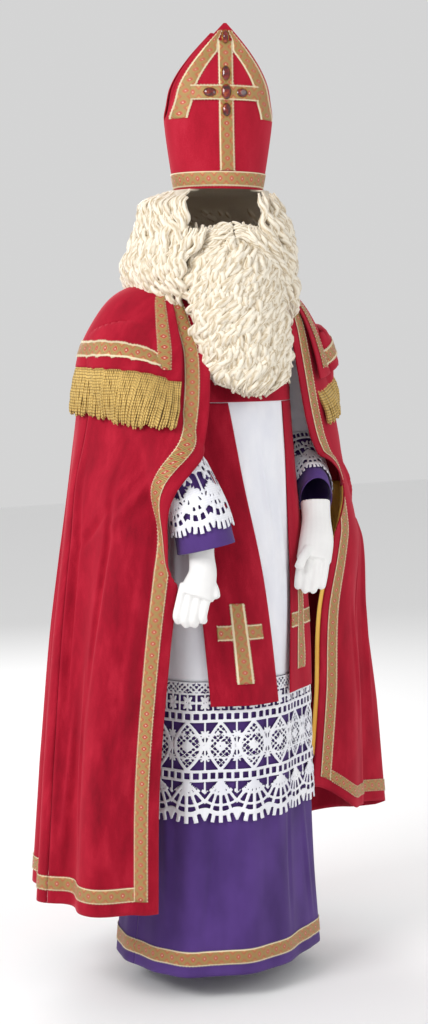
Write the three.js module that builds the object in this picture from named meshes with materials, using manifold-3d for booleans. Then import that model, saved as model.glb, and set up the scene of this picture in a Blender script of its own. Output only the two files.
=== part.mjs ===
// A Saint Nicholas costume as it is worn, empty: mitre, wig and beard, cope with shoulder cape,
// stole, rochet, cassock and gloves. Millimetres, +Z up, the front faces -Y, the wearer's right is -X.
// Heights are measured from the floor, and the last lines move the neck opening to the origin.
import * as THREE from "three";
import { mergeVertices } from "three/addons/utils/BufferGeometryUtils.js";
import Module from "manifold-3d";

const wasm = await Module();
wasm.setup();

// Driving sizes
const seam = 0.3; // clearance between pieces that meet
const velveteen = 2.2; // wall of the cope, its cape and the stole
const gownCloth = 1.6; // wall of the cassock and the rochet
const liningCloth = 1.0;
const laceCloth = 1.6;
const braidCloth = 1.4;
const braidWidth = 30;
const neckHeight = 1545; // where the set hangs from the neck and shoulders
const neckDepth = 22; // how far behind the axis the neck opening is centred
const cassockHem = 55;
const laceTop = 690;
const laceBottom = 388;
const yokeHem = 1275;
const copeHem = 215;
const copeCornerLift = 75; // the left hand gathers this front edge up
const headTurn = -23; // degrees, the head looks back towards the wearer's right

const group = new THREE.Group();

// Materials in the photo's colours
const cloth = (color, roughness) => new THREE.MeshStandardMaterial({ color, roughness, metalness: 0 });
const finishes = {
  redVelveteen: cloth("#a8142c", 0.85),
  redFelt: cloth("#b01a30", 0.95),
  yellowSatin: cloth("#e8b850", 0.4),
  purpleCotton: cloth("#523574", 0.9),
  whiteCotton: cloth("#f2f3f6", 0.9),
  whiteLace: cloth("#f5f5f7", 0.85),
  goldBraid: cloth("#c9a468", 0.6),
  goldFringe: cloth("#c4a05a", 0.55),
  creamHair: cloth("#efe8d8", 0.8),
  redGlass: new THREE.MeshStandardMaterial({ color: "#6e0a0a", roughness: 0.12, metalness: 0.1 }),
};

// Small geometry tools

const radians = THREE.MathUtils.degToRad;
const vec = (x, y, z) => new THREE.Vector3(x, y, z);

// A smooth value of one column of a table, whose rows rise in the key column.
function valueAt(rows, key, at, column) {
  const last = rows.length - 1;
  if (at <= rows[0][key]) return rows[0][column];
  if (at >= rows[last][key]) return rows[last][column];
  let i = 0;
  while (rows[i + 1][key] < at) i += 1;
  const slope = (k) => {
    const before = rows[Math.max(k - 1, 0)];
    const after = rows[Math.min(k + 1, last)];
    return (after[column] - before[column]) / (after[key] - before[key]);
  };
  const span = rows[i + 1][key] - rows[i][key];
  const t = (at - rows[i][key]) / span;
  const rise = rows[i + 1][column] - rows[i][column];
  const startSlope = slope(i) * span;
  const endSlope = slope(i + 1) * span;
  const bend = 3 * rise - 2 * startSlope - endSlope;
  return rows[i][column] + t * (startSlope + t * (bend + t * (startSlope + endSlope - 2 * rise)));
}

// A soft bump of height 1 that is 0 beyond one width to each side.
function bump(distance, width) {
  const t = Math.abs(distance) / width;
  return t >= 1 ? 0 : (1 + Math.cos(Math.PI * t)) / 2;
}

// Numbers from start to end in equal steps.
const steps = (start, end, count) =>
  Array.from({ length: count + 1 }, (_, i) => start + ((end - start) * i) / count);

// A grid of points: rows run down the cloth, columns run round it, so its normals point outwards.
const gridOf = (rows, columns, point) => rows.map((row) => columns.map((column) => point(column, row)));

// The outward normal at each point of a grid. A tube's last column lies on its first.
function normalsOf(grid) {
  const rows = grid.length;
  const last = grid[0].length - 1;
  const loops = grid[rows - 1][0].distanceTo(grid[rows - 1][last]) < 0.001;
  return grid.map((line, i) =>
    line.map((_, j) => {
      const left = j > 0 ? j - 1 : loops ? last - 1 : 0;
      const right = j < last ? j + 1 : loops ? 1 : last;
      const across = grid[i][right].clone().sub(grid[i][left]);
      const down = grid[Math.min(i + 1, rows - 1)][j].clone().sub(grid[Math.max(i - 1, 0)][j]);
      return across.cross(down).normalize();
    }),
  );
}

// The points of a grid moved along their normals.
function movedOut(grid, distance) {
  const normals = normalsOf(grid);
  return grid.map((line, i) => line.map((p, j) => p.clone().addScaledVector(normals[i][j], distance)));
}

// Rows and columns of a grid from one place to another.
const partOf = (grid, [fromRow, toRow], [fromColumn, toColumn]) =>
  grid.slice(fromRow, toRow + 1).map((line) => line.slice(fromColumn, toColumn + 1));

// A grid whose first or last column is drawn in by the clearance.
function seamed(grid, [atStart, atEnd]) {
  const last = grid[0].length - 1;
  const drawn = (from, towards) => from.clone().add(towards.clone().sub(from).setLength(seam));
  return grid.map((line) =>
    line.map((p, j) => {
      if (j === 0 && atStart) return drawn(p, line[1]);
      if (j === last && atEnd) return drawn(p, line[last - 1]);
      return p;
    }),
  );
}

// A closed wall between two grids of the same size. Cells named by isHole are left open.
function wallBetween(outer, inner, { isTube = false, isHole = () => false } = {}) {
  const rows = outer.length;
  const columns = outer[0].length - (isTube ? 1 : 0);
  const cellColumns = outer[0].length - 1;
  const points = [...outer, ...inner].flatMap((line) => line.slice(0, columns));
  const outerAt = (i, j) => i * columns + (j % columns);
  const innerAt = (i, j) => rows * columns + outerAt(i, j);
  const isCloth = (i, j) => {
    if (i < 0 || i > rows - 2) return false;
    if (!isTube && (j < 0 || j > cellColumns - 1)) return false;
    return !isHole(i, (j + cellColumns) % cellColumns);
  };
  const faces = [];
  const quad = (a, b, c, d) => faces.push(a, b, c, a, c, d);
  for (let i = 0; i < rows - 1; i += 1) {
    for (let j = 0; j < cellColumns; j += 1) {
      if (!isCloth(i, j)) continue;
      quad(outerAt(i, j), outerAt(i, j + 1), outerAt(i + 1, j + 1), outerAt(i + 1, j));
      quad(innerAt(i, j), innerAt(i + 1, j), innerAt(i + 1, j + 1), innerAt(i, j + 1));
      const rim = (a, b) => quad(outerAt(...a), innerAt(...a), innerAt(...b), outerAt(...b));
      if (!isCloth(i - 1, j)) rim([i, j], [i, j + 1]);
      if (!isCloth(i + 1, j)) rim([i + 1, j + 1], [i + 1, j]);
      if (!isCloth(i, j - 1)) rim([i + 1, j], [i, j]);
      if (!isCloth(i, j + 1)) rim([i, j + 1], [i + 1, j + 1]);
    }
  }
  return { points, faces };
}

// A wall on a window of a grid, from one distance outside the grid to another.
function wall(grid, outside, inside, options = {}) {
  const { rows = [0, grid.length - 1], columns = [0, grid[0].length - 1], seams = [false, false] } = options;
  const side = (distance) => seamed(partOf(movedOut(grid, distance), rows, columns), seams);
  return wallBetween(side(outside), side(inside), options);
}

function geometryOf({ points, faces }) {
  const geometry = new THREE.BufferGeometry();
  const numbers = points.flatMap((p) => p.toArray());
  geometry.setAttribute("position", new THREE.Float32BufferAttribute(numbers, 3));
  geometry.setIndex(faces);
  return geometry;
}

// A closed body as a solid that can be joined or cut, and back again.
function solidOf(body) {
  const merged = mergeVertices(geometryOf(body), 1e-4);
  const mesh = new wasm.Mesh({
    numProp: 3,
    vertProperties: merged.attributes.position.array,
    triVerts: new Uint32Array(merged.index.array),
  });
  return new wasm.Manifold(mesh);
}

function bodyOf(solid) {
  const mesh = solid.getMesh();
  const points = [];
  for (let i = 0; i < mesh.vertProperties.length; i += mesh.numProp) {
    points.push(vec(...mesh.vertProperties.subarray(i, i + 3)));
  }
  return { points, faces: [...mesh.triVerts] };
}

const joined = (bodies) => bodyOf(bodies.map(solidOf).reduce((whole, part) => whole.add(part)));
const cutBy = (body, tools) =>
  bodyOf(tools.map(solidOf).reduce((rest, tool) => rest.subtract(tool), solidOf(body)));

// A solid between a top row, stacked rings and a bottom row, filled across both ends.
function filledRings(rings) {
  const sides = rings[0].length;
  const points = rings.flat();
  const faces = [];
  rings.slice(1).forEach((_, i) => {
    for (let j = 0; j < sides; j += 1) {
      const a = i * sides + j;
      const b = i * sides + ((j + 1) % sides);
      faces.push(a, b, b + sides, a, b + sides, a + sides);
    }
  });
  const cap = (ring, offset, flip) => {
    const centre = ring.reduce((sum, p) => sum.add(p), vec(0, 0, 0)).divideScalar(sides);
    points.push(centre);
    const middle = points.length - 1;
    for (let j = 0; j < sides; j += 1) {
      const a = offset + j;
      const b = offset + ((j + 1) % sides);
      if (flip) faces.push(middle, b, a);
      else faces.push(middle, a, b);
    }
  };
  cap(rings[0], 0, true);
  cap(rings[rings.length - 1], (rings.length - 1) * sides, false);
  return { points, faces };
}

function add(name, body, material) {
  const mesh = new THREE.Mesh(geometryOf(body), material);
  mesh.name = name;
  group.add(mesh);
}

// Body sections of the gowns. Angles run from the front through the wearer's right, back and left.

const gownSections = [
  { z: 55, halfWidth: 230, front: 194, back: 190, centreY: 0 },
  { z: 250, halfWidth: 212, front: 184, back: 180, centreY: 0 },
  { z: 480, halfWidth: 202, front: 178, back: 172, centreY: 2 },
  { z: 700, halfWidth: 196, front: 176, back: 166, centreY: 4 },
  { z: 900, halfWidth: 188, front: 168, back: 158, centreY: 6 },
  { z: 1080, halfWidth: 174, front: 150, back: 140, centreY: 10 },
  { z: 1260, halfWidth: 172, front: 140, back: 130, centreY: 18 },
  { z: 1380, halfWidth: 186, front: 126, back: 120, centreY: 28 },
  { z: 1450, halfWidth: 196, front: 108, back: 104, centreY: 34 },
  { z: 1494, halfWidth: 176, front: 88, back: 84, centreY: 34 },
  { z: 1522, halfWidth: 124, front: 76, back: 70, centreY: 28 },
  { z: 1545, halfWidth: 78, front: 72, back: 66, centreY: 22 },
];

// Hanging folds of a gown: degrees round the body, degrees to each side, depth at the hem in mm.
const gownFolds = [
  { angle: 12, width: 15, depth: 7 },
  { angle: 48, width: 16, depth: 10 },
  { angle: 84, width: 18, depth: -9 },
  { angle: 126, width: 20, depth: 10 },
  { angle: 162, width: 20, depth: -8 },
  { angle: 198, width: 20, depth: 9 },
  { angle: 234, width: 20, depth: -9 },
  { angle: 256, width: 16, depth: 14 },
  { angle: 286, width: 14, depth: -4 },
  { angle: 303, width: 13, depth: 12 },
  { angle: 330, width: 18, depth: -10 },
];

const around = (angle, centre) => ((angle - centre + 540) % 360) - 180;

// A point on the cassock's section at a height.
function gownPoint(angle, z) {
  const section = (column) => valueAt(gownSections, "z", z, column);
  const turn = radians(angle);
  const depth = Math.cos(turn) > 0 ? section("front") : section("back");
  const hang = THREE.MathUtils.clamp((1300 - z) / 900, 0, 1);
  const folds = gownFolds.map((fold) => fold.depth * bump(around(angle, fold.angle), fold.width));
  const grown = folds.reduce((sum, depth) => sum + depth) * hang;
  return vec(
    -(section("halfWidth") + grown) * Math.sin(turn),
    section("centreY") - (depth + grown) * Math.cos(turn),
    z,
  );
}

const frontEnd = 14; // columns from the left side seam across the front to the right side seam
const backSteps = 8;
const gownAngles = [...steps(-90, 90, frontEnd), ...steps(90, 270, backSteps).slice(1)];
const lastColumn = gownAngles.length - 1;
const frontColumns = [0, frontEnd];
const backColumns = [frontEnd, lastColumn];
const bothSeams = [true, true];

const sharedRows = [1545, 1522, 1494, 1450, 1380, yokeHem, 1080, laceTop];
const hemBraidLift = 25;
const skirtRows = [400, cassockHem + hemBraidLift + braidWidth, cassockHem + hemBraidLift, cassockHem];
const cassockGrid = gridOf([...sharedRows, ...skirtRows], gownAngles, gownPoint);

// The rochet lies on the cassock at the shoulders and hangs a little clear of it below.
const rochetSeat = gownCloth + 0.6;
const rochetDrop = 5;
const rochetGrid = (() => {
  const near = movedOut(cassockGrid, rochetSeat);
  const clear = movedOut(cassockGrid, rochetDrop);
  return sharedRows.map((z, i) => (z > 1440 ? near[i] : clear[i]));
})();

const gownHalf = (grid, columns) => wall(grid, 0, -gownCloth, { columns, seams: bothSeams });

// Sleeve paths from inside the shoulder to the cuff. The right arm hangs, the left hand holds the cope.
// The sleeves are wide across the first direction and deep across the second.
const sleevePaths = {
  right: [
    { x: -150, y: 32, z: 1440, wide: 56, deep: 56 },
    { x: -196, y: 30, z: 1400, wide: 60, deep: 60 },
    { x: -224, y: -10, z: 1330, wide: 56, deep: 56 },
    { x: -218, y: -62, z: 1250, wide: 52, deep: 52 },
    { x: -200, y: -112, z: 1178, wide: 50, deep: 52 },
    { x: -188, y: -150, z: 1114, wide: 53, deep: 54 },
    { x: -174, y: -180, z: 1048, wide: 57, deep: 57 },
    { x: -164, y: -192, z: 982, wide: 61, deep: 60 },
  ],
  left: [
    { x: 150, y: 32, z: 1440, wide: 56, deep: 56 },
    { x: 198, y: 32, z: 1400, wide: 60, deep: 60 },
    { x: 236, y: 32, z: 1330, wide: 54, deep: 55 },
    { x: 244, y: 32, z: 1250, wide: 46, deep: 50 },
    { x: 244, y: 24, z: 1180, wide: 42, deep: 50 },
    { x: 230, y: -14, z: 1124, wide: 38, deep: 54 },
    { x: 210, y: -62, z: 1088, wide: 35, deep: 58 },
    { x: 187, y: -108, z: 1056, wide: 36, deep: 60 },
  ],
};
const acrossView = vec(0.82, -0.57, 0);

// A place along a sleeve at a share of its length, with its two cross directions.
const curveOf = (path) => new THREE.CatmullRomCurve3(path.map(({ x, y, z }) => vec(x, y, z)));
const sleeveCurves = { right: curveOf(sleevePaths.right), left: curveOf(sleevePaths.left) };

function sleeveAt(side, share) {
  const path = sleevePaths[side];
  const last = path.length - 1;
  const i = Math.min(Math.floor(share * last), last - 1);
  const t = share * last - i;
  const along = sleeveCurves[side].getTangent(share);
  const first = acrossView.clone().addScaledVector(along, -acrossView.dot(along)).normalize();
  return {
    centre: sleeveCurves[side].getPoint(share),
    along,
    first,
    second: along.clone().cross(first),
    wide: path[i].wide + (path[i + 1].wide - path[i].wide) * t,
    deep: path[i].deep + (path[i + 1].deep - path[i].deep) * t,
  };
}

const sleevePlaces = (side, from, to, count) => steps(from, to, count).map((share) => sleeveAt(side, share));

const onTube = ({ centre, first, second, wide, deep }, angle, out) =>
  centre
    .clone()
    .addScaledVector(first, Math.cos(radians(angle)) * (wide + out))
    .addScaledVector(second, Math.sin(radians(angle)) * (deep + out));

const sleeveSides = 10;
const tubeGrid = (places, out, count = sleeveSides) =>
  places.map((place) => steps(0, 360, count).map((angle) => onTube(place, angle, out)));
const filledTube = (grid) => filledRings(grid.map((line) => line.slice(0, -1)));

const rochetSleeveOut = 5;
const laceStart = 4 / 7; // share of the sleeve where its lace begins
const laceEnd = 0.93;
const shoulderEnd = 3 / 7; // share of the sleeve that reaches past the armhole

const sleeveShares = [...steps(0, shoulderEnd, 3), ...steps(shoulderEnd, 1, 4).slice(1)];

// A point of a sleeve at a share of its length, on the straight stretch between its rings.
function sleevePoint(side, share, angle, out) {
  const after = sleeveShares.findIndex((each) => each >= share && each > 0);
  const [from, to] = [sleeveShares[after - 1], sleeveShares[after]];
  const start = onTube(sleeveAt(side, from), angle, out);
  return start.lerp(onTube(sleeveAt(side, to), angle, out), (share - from) / (to - from));
}
const sleeveRing = (side, share, out) =>
  steps(0, 360, sleeveSides).map((angle) => sleevePoint(side, share, angle, out));

const bodyWithin = (grid) => filledRings(movedOut(grid, seam).map((line) => line.slice(0, -1)));
const sides = ["right", "left"];
const armholes = (out) =>
  sides.map((side) => filledTube(tubeGrid(sleevePlaces(side, 0, shoulderEnd, 3), out)));
const cassockArmholes = armholes(-gownCloth);
const rochetArmholes = armholes(seam + 0.2);
add("cassock_front", cutBy(gownHalf(cassockGrid, frontColumns), cassockArmholes), finishes.purpleCotton);
add("cassock_back", cutBy(gownHalf(cassockGrid, backColumns), cassockArmholes), finishes.purpleCotton);
add("rochet_front", cutBy(gownHalf(rochetGrid, frontColumns), rochetArmholes), finishes.whiteCotton);
add("rochet_back", cutBy(gownHalf(rochetGrid, backColumns), rochetArmholes), finishes.whiteCotton);

const cassockWithin = bodyWithin(cassockGrid.slice(0, sharedRows.length));
const rochetWithin = bodyWithin(rochetGrid);
sides.forEach((side) => {
  const cassockTube = sleeveShares.map((share) => sleeveRing(side, share, 0));
  const cassockSleeve = wall(cassockTube, 0, -gownCloth, { isTube: true });
  add("cassock_sleeve_" + side, cutBy(cassockSleeve, [cassockWithin]), finishes.purpleCotton);
  const rochetShares = [...sleeveShares.slice(0, 4), laceStart];
  const rochetTube = rochetShares.map((share) => sleeveRing(side, share, rochetSleeveOut));
  const rochetSleeve = wall(rochetTube, 0, -gownCloth, { isTube: true });
  add("rochet_sleeve_" + side, cutBy(rochetSleeve, [rochetWithin]), finishes.whiteCotton);
});

// The cope drapes over the sleeves: a point inside a sleeve's reach moves out to it.
const armReach = rochetSleeveOut + 26;
const armPlaces = sides.flatMap((side) => sleevePlaces(side, 0.2, 1, 40));

function overArms(point, out) {
  armPlaces.forEach(({ centre, along, first, second, wide, deep }) => {
    const from = point.clone().sub(centre);
    if (Math.abs(from.dot(along)) > 16) return;
    const clear = armReach + out;
    const reach = Math.hypot(from.dot(first) / (wide + clear), from.dot(second) / (deep + clear));
    if (reach >= 1 || reach < 0.3) return;
    const push = 1 / reach - 1;
    point.addScaledVector(first, from.dot(first) * push).addScaledVector(second, from.dot(second) * push);
  });
  return point;
}

// The cope. A place across it runs from -1 at the right front edge through 0 at the middle of the back
// to 1 at the left front edge, and a place down it from 0 at the neck to 1 at the hem.

const copeColumnNames = [
  "down", "z", "lift", "right", "left", "frontR", "frontL", "back", "y", "edgeR", "edgeL",
];
const copeSections = [
  [0, 1549, 0, 83, 83, 77, 77, 71, 22, 44, 44],
  [0.02, 1532, 0, 144, 142, 92, 92, 84, 28, 36, 38],
  [0.05, 1502, 0, 224, 218, 112, 110, 104, 36, 30, 33],
  [0.09, 1450, 0, 268, 258, 144, 138, 132, 38, 25, 30],
  [0.15, 1370, 0, 304, 288, 177, 156, 158, 34, 22, 27],
  [0.27, 1200, 0, 330, 328, 256, 168, 196, 24, 31, 29],
  [0.34, 1104, 2, 341, 350, 262, 176, 214, 24, 38, 38],
  [0.42, 995, 6, 351, 384, 268, 182, 234, 24, 38, 37],
  [0.47, 930, 14, 358, 402, 258, 182, 242, 25, 38, 33],
  [0.6, 760, 40, 374, 408, 232, 172, 262, 26, 38, 28],
  [0.8, 490, 80, 388, 446, 228, 146, 290, 28, 40, 27.3],
  [1, copeHem, 110, 406, 480, 230, 122, 308, 30, 39, 25.2],
].map((row) => Object.fromEntries(row.map((value, k) => [copeColumnNames[k], value])));

// Folds of the cope: place across, spread to each side, depth at the hem in mm, and where it starts.
const copeFolds = [
  { across: -0.97, spread: 0.05, depth: 10, from: 0.25 },
  { across: -0.84, spread: 0.12, depth: 26, from: 0.18 },
  { across: -0.69, spread: 0.1, depth: -24, from: 0.15 },
  { across: -0.59, spread: 0.07, depth: 20, from: 0.2 },
  { across: -0.5, spread: 0.07, depth: -14, from: 0.2 },
  { across: -0.4, spread: 0.08, depth: 20, from: 0.16 },
  { across: -0.26, spread: 0.09, depth: -20, from: 0.3 },
  { across: -0.13, spread: 0.09, depth: 18, from: 0.2 },
  { across: 0.02, spread: 0.1, depth: -18, from: 0.3 },
  { across: 0.16, spread: 0.1, depth: 22, from: 0.18 },
  { across: 0.3, spread: 0.09, depth: -20, from: 0.25 },
  { across: 0.42, spread: 0.08, depth: 18, from: 0.2 },
  { across: 0.53, spread: 0.07, depth: -16, from: 0.22 },
  { across: 0.64, spread: 0.08, depth: 20, from: 0.18 },
  { across: 0.76, spread: 0.07, depth: -22, from: 0.25 },
  { across: 0.9, spread: 0.08, depth: 14, from: 0.3 },
];

function copePoint(across, down, out = 0) {
  const section = (column) => valueAt(copeSections, "down", down, column);
  const isRight = across < 0;
  const edge = isRight ? section("edgeR") : section("edgeL");
  const turn = radians(180 + across * (180 - edge));
  const front = isRight ? section("frontR") : section("frontL");
  const depth = Math.cos(turn) > 0 ? front : section("back");
  const halfWidth = isRight ? section("right") : section("left");
  const folds = copeFolds.reduce((sum, fold) => {
    const grown = THREE.MathUtils.clamp((down - fold.from) / (0.8 - fold.from), 0, 1);
    return sum + fold.depth * grown * bump(across - fold.across, fold.spread);
  }, 0);
  const leftShare = THREE.MathUtils.smoothstep(across, 0.1, 0.85);
  const cornerShare = THREE.MathUtils.smoothstep(across, 0.86, 1) * THREE.MathUtils.smoothstep(down, 0.5, 1);
  const point = vec(
    -(halfWidth + out + folds) * Math.sin(turn),
    section("y") - (depth + out + folds) * Math.cos(turn),
    section("z") + section("lift") * leftShare + copeCornerLift * cornerShare,
  );
  return overArms(point, out);
}

// Columns of the cope: those at the two front edges stand at real distances from the edge.
const copeMargin = 24;
const capeSetback = 62;
const capeMargin = 25;
const edgeDistances = [
  0,
  copeMargin,
  copeMargin + braidWidth,
  capeSetback,
  capeSetback + capeMargin,
  capeSetback + capeMargin + braidWidth,
];

function acrossAt(column, down) {
  const perUnit = (edge) => copePoint(edge, down).distanceTo(copePoint(edge * 0.96, down)) / 0.04;
  const inner = edgeDistances[edgeDistances.length - 1];
  const rightInner = -1 + inner / perUnit(-1);
  const leftInner = 1 - inner / perUnit(1);
  if (column.edge === "right") return -1 + column.distance / perUnit(-1);
  if (column.edge === "left") return 1 - column.distance / perUnit(1);
  return rightInner + (leftInner - rightInner) * column.share;
}

const middleColumns = 26;
const copeColumns = [
  ...edgeDistances.map((distance) => ({ edge: "right", distance })),
  ...steps(0, 1, middleColumns).slice(1, -1).map((share) => ({ edge: "", share })),
  ...edgeDistances.map((distance) => ({ edge: "left", distance })).reverse(),
];
const copeLength = 1330;
const copeHemMargin = 28;
const copeRows = [
  0, 0.02, 0.05, 0.09, 0.15, 0.21, 0.27, 0.315, 0.36, 0.41, 0.52, 0.66, 0.82,
  1 - (copeHemMargin + braidWidth - 4) / copeLength,
  1 - copeHemMargin / copeLength,
  1,
];
const copeGrid = gridOf(copeRows, copeColumns, (column, down) => copePoint(acrossAt(column, down), down));
const rightSeamColumn = 8;
const leftSeamColumn = copeColumns.length - 1 - rightSeamColumn;
const lastCopeColumn = copeColumns.length - 1;
const lastCopeRow = copeRows.length - 1;
const copePanels = [
  { name: "cope_front_right", from: 0, to: rightSeamColumn },
  { name: "cope_back", from: rightSeamColumn, to: leftSeamColumn },
  { name: "cope_front_left", from: leftSeamColumn, to: lastCopeColumn },
];
copePanels.forEach(({ name, from, to }) => {
  const seams = [from > 0, to < lastCopeColumn];
  add(name, wall(copeGrid, 0, -velveteen, { columns: [from, to], seams }), finishes.redVelveteen);
});

// What is sewn on the cope lies on its own points, moved out.
const onCope = (columns, rows, seams) =>
  wall(copeGrid, seam + braidCloth, seam, { columns, rows, seams });
const hemBraidRows = [lastCopeRow - 2, lastCopeRow - 1];
const edgeBraidRows = [0, lastCopeRow - 1];
add("cope_braid_right", onCope([1, 2], edgeBraidRows), finishes.goldBraid);
add("cope_braid_left", onCope([lastCopeColumn - 2, lastCopeColumn - 1], edgeBraidRows), finishes.goldBraid);
const hemBraidOf = (from, to) => onCope([from, to], hemBraidRows, bothSeams);
add("cope_hem_braid_right", hemBraidOf(2, rightSeamColumn), finishes.goldBraid);
add("cope_hem_braid_back", hemBraidOf(rightSeamColumn, leftSeamColumn), finishes.goldBraid);
add("cope_hem_braid_left", hemBraidOf(leftSeamColumn, lastCopeColumn - 2), finishes.goldBraid);

// The satin lining shows through the front opening, inside the left side and the left front.
const liningOut = -velveteen - seam;
const liningWindow = { rows: [8, lastCopeRow - 2], columns: [leftSeamColumn - 2, lastCopeColumn - 1] };
add("cope_lining", wall(copeGrid, liningOut, liningOut - liningCloth, liningWindow), finishes.yellowSatin);

// The shoulder cape lies on the cope at the neck and flares away from it towards its own hem.
const capeDown = 0.166;
const capeFrontDrop = 0.022;
const capeFlare = 8;
const capeColumns = copeColumns.slice(3, -3);
const capeHemMargin = 20;
const capeRows = [0.09, 0.125, "braidTop", "braidFoot", "hem"];

function capeDownAt(across, row) {
  const hem = capeDown + capeFrontDrop * THREE.MathUtils.smoothstep(Math.abs(across), 0.6, 0.95);
  const above = { braidTop: capeHemMargin + braidWidth - 2, braidFoot: capeHemMargin, hem: 0 };
  return typeof row === "number" ? row : hem - above[row] / copeLength;
}

function capePoint(column, row) {
  const across = acrossAt(column, typeof row === "number" ? row : capeDown);
  const down = capeDownAt(across, row);
  const out = velveteen + 3 + capeFlare * THREE.MathUtils.smoothstep(down, 0.06, capeDown);
  return copePoint(across, down, out);
}

const capeSeat = movedOut(copeGrid, velveteen + seam).slice(0, 3).map((line) => line.slice(3, -3));
const capeGrid = [...capeSeat, ...gridOf(capeRows, capeColumns, capePoint)];
const lastCapeRow = capeGrid.length - 1;
const lastCapeColumn = capeColumns.length - 1;
const capeMiddle = lastCapeColumn / 2;
const capeHalves = [
  { side: "right", columns: [0, capeMiddle], seams: [false, true], braidColumns: [1, capeMiddle] },
  {
    side: "left",
    columns: [capeMiddle, lastCapeColumn],
    seams: [true, false],
    braidColumns: [capeMiddle, lastCapeColumn - 1],
  },
];
capeHalves.forEach(({ side, columns, seams, braidColumns }) => {
  add("cape_" + side, wall(capeGrid, 0, -velveteen, { columns, seams }), finishes.redVelveteen);
  const upright = side === "right" ? 0 : braidColumns[1] - braidColumns[0] - 1;
  const isHole = (i, j) => i < lastCapeRow - 2 && j !== upright;
  const window = { rows: [0, lastCapeRow - 1], columns: braidColumns, seams, isHole };
  add("cape_braid_" + side, wall(capeGrid, seam + braidCloth, seam, window), finishes.goldBraid);
});

// Bullion fringe: strands hang from a narrow tape behind the hem of each half of the cape.
const fringeLength = 88;
const strandsPerHalf = 32;
const strandWidth = 9;
const tapeRise = 1;
const tapeDrop = 4;
const tapeCloth = 2.4;
const tapeGap = 0.9;
const fringeOut = 15; // how far the strands' tips stand off the cope

// A place on a line of points at a distance along it, with the index of its stretch.
function alongLine(line, distance) {
  let j = 0;
  let left = Math.max(distance, 0);
  while (j < line.length - 2 && left > line[j].distanceTo(line[j + 1])) {
    left -= line[j].distanceTo(line[j + 1]);
    j += 1;
  }
  const t = Math.min(left / line[j].distanceTo(line[j + 1]), 1);
  return { j, t, point: line[j].clone().lerp(line[j + 1], t) };
}

const lengthOf = (line) => line.slice(1).reduce((sum, p, j) => sum + p.distanceTo(line[j]), 0);

function fringeOf(columns) {
  const [from, to] = columns;
  const hemLine = capeGrid[lastCapeRow].slice(from, to + 1);
  const innerLine = movedOut(capeGrid, -1)[lastCapeRow].slice(from, to + 1);
  const inward = innerLine.map((p, j) => p.clone().sub(hemLine[j]).normalize());
  const fallen = capeColumns.slice(from, to + 1).map((column) => {
    const across = acrossAt(column, capeDown);
    const down = capeDownAt(across, "hem") + fringeLength / copeLength;
    return copePoint(across, down, fringeOut);
  });
  const fall = fallen.map((p, j) => p.sub(hemLine[j]).divideScalar(fringeLength));
  const at = (distance, drop, depth) => {
    const { j, t, point } = alongLine(hemLine, distance);
    const inside = inward[j].clone().lerp(inward[j + 1], t).normalize();
    const down = fall[j].clone().lerp(fall[j + 1], t);
    return point.addScaledVector(down, drop).addScaledVector(inside, depth);
  };
  const start = velveteen + tapeGap;
  const tapeSide = (depth) =>
    [-tapeRise, tapeDrop].map((drop) =>
      hemLine.map((p, j) => p.clone().addScaledVector(inward[j], depth).addScaledVector(fall[j], drop)),
    );
  const tape = wallBetween(tapeSide(start), tapeSide(start + tapeCloth));
  const pitch = lengthOf(hemLine) / strandsPerHalf;
  const strands = Array.from({ length: strandsPerHalf }, (_, k) => {
    const middle = (k + 0.5) * pitch;
    const length = fringeLength + 3 * Math.sin(k * 2.3) + 2 * Math.sin(k * 0.71);
    const sway = 0.5 * Math.sin(k * 1.7);
    const ring = (place, drop, half, depth) => [
      at(place - half, drop, depth + half * 0.6),
      at(place, drop, depth - half * 0.6),
      at(place + half, drop, depth + half * 0.6),
    ];
    const centre = start + tapeCloth / 2;
    return [ring(middle, tapeDrop - 1.5, 1.6, centre), ring(middle + sway, length, strandWidth / 2, centre)];
  });
  return { tape, strands };
}

// Stacked rings of three points, closed at both ends by one face.
function prism(rings) {
  const faces = [];
  rings.slice(1).forEach((_, i) => {
    for (let j = 0; j < 3; j += 1) {
      const a = i * 3 + j;
      const b = i * 3 + ((j + 1) % 3);
      faces.push(a, b, b + 3, a, b + 3, a + 3);
    }
  });
  const foot = (rings.length - 1) * 3;
  faces.push(2, 1, 0, foot, foot + 1, foot + 2);
  return { points: rings.flat(), faces };
}

capeHalves.forEach(({ side, columns }) => {
  const { tape, strands } = fringeOf(columns);
  add("cape_fringe_" + side, joined([tape, ...strands.map(prism)]), finishes.goldFringe);
});

// Hem braid of the cassock.
const cassockHemRow = cassockGrid.length - 1;
[["front", frontColumns], ["back", backColumns]].forEach(([place, columns]) => {
  const window = { rows: [cassockHemRow - 2, cassockHemRow - 1], columns, seams: bothSeams };
  add("cassock_hem_braid_" + place, wall(cassockGrid, seam + braidCloth, seam, window), finishes.goldBraid);
});

// The stole: a yoke on the chest and a panel down each side, which end in a cross of braid.
const yokeRows = [2, sharedRows.indexOf(yokeHem)];
const yokeColumns = [3, 11];
const yokeWindow = { rows: yokeRows, columns: yokeColumns };
add("stole_yoke", wall(rochetGrid, seam + velveteen, seam, yokeWindow), finishes.redVelveteen);

// A point on the front of the gown at a place across it and a height, moved out from its side.
function frontPoint(x, z, out) {
  const section = (column) => valueAt(gownSections, "z", z, column);
  const share = THREE.MathUtils.clamp(x / (section("halfWidth") + 4), -0.99, 0.99);
  const angle = (-Math.asin(share) * 180) / Math.PI;
  const on = gownPoint(angle, z);
  const side = gownPoint(angle + 1, z).sub(gownPoint(angle - 1, z)).normalize();
  return on.addScaledVector(vec(-side.y, side.x, 0), out);
}

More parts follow.
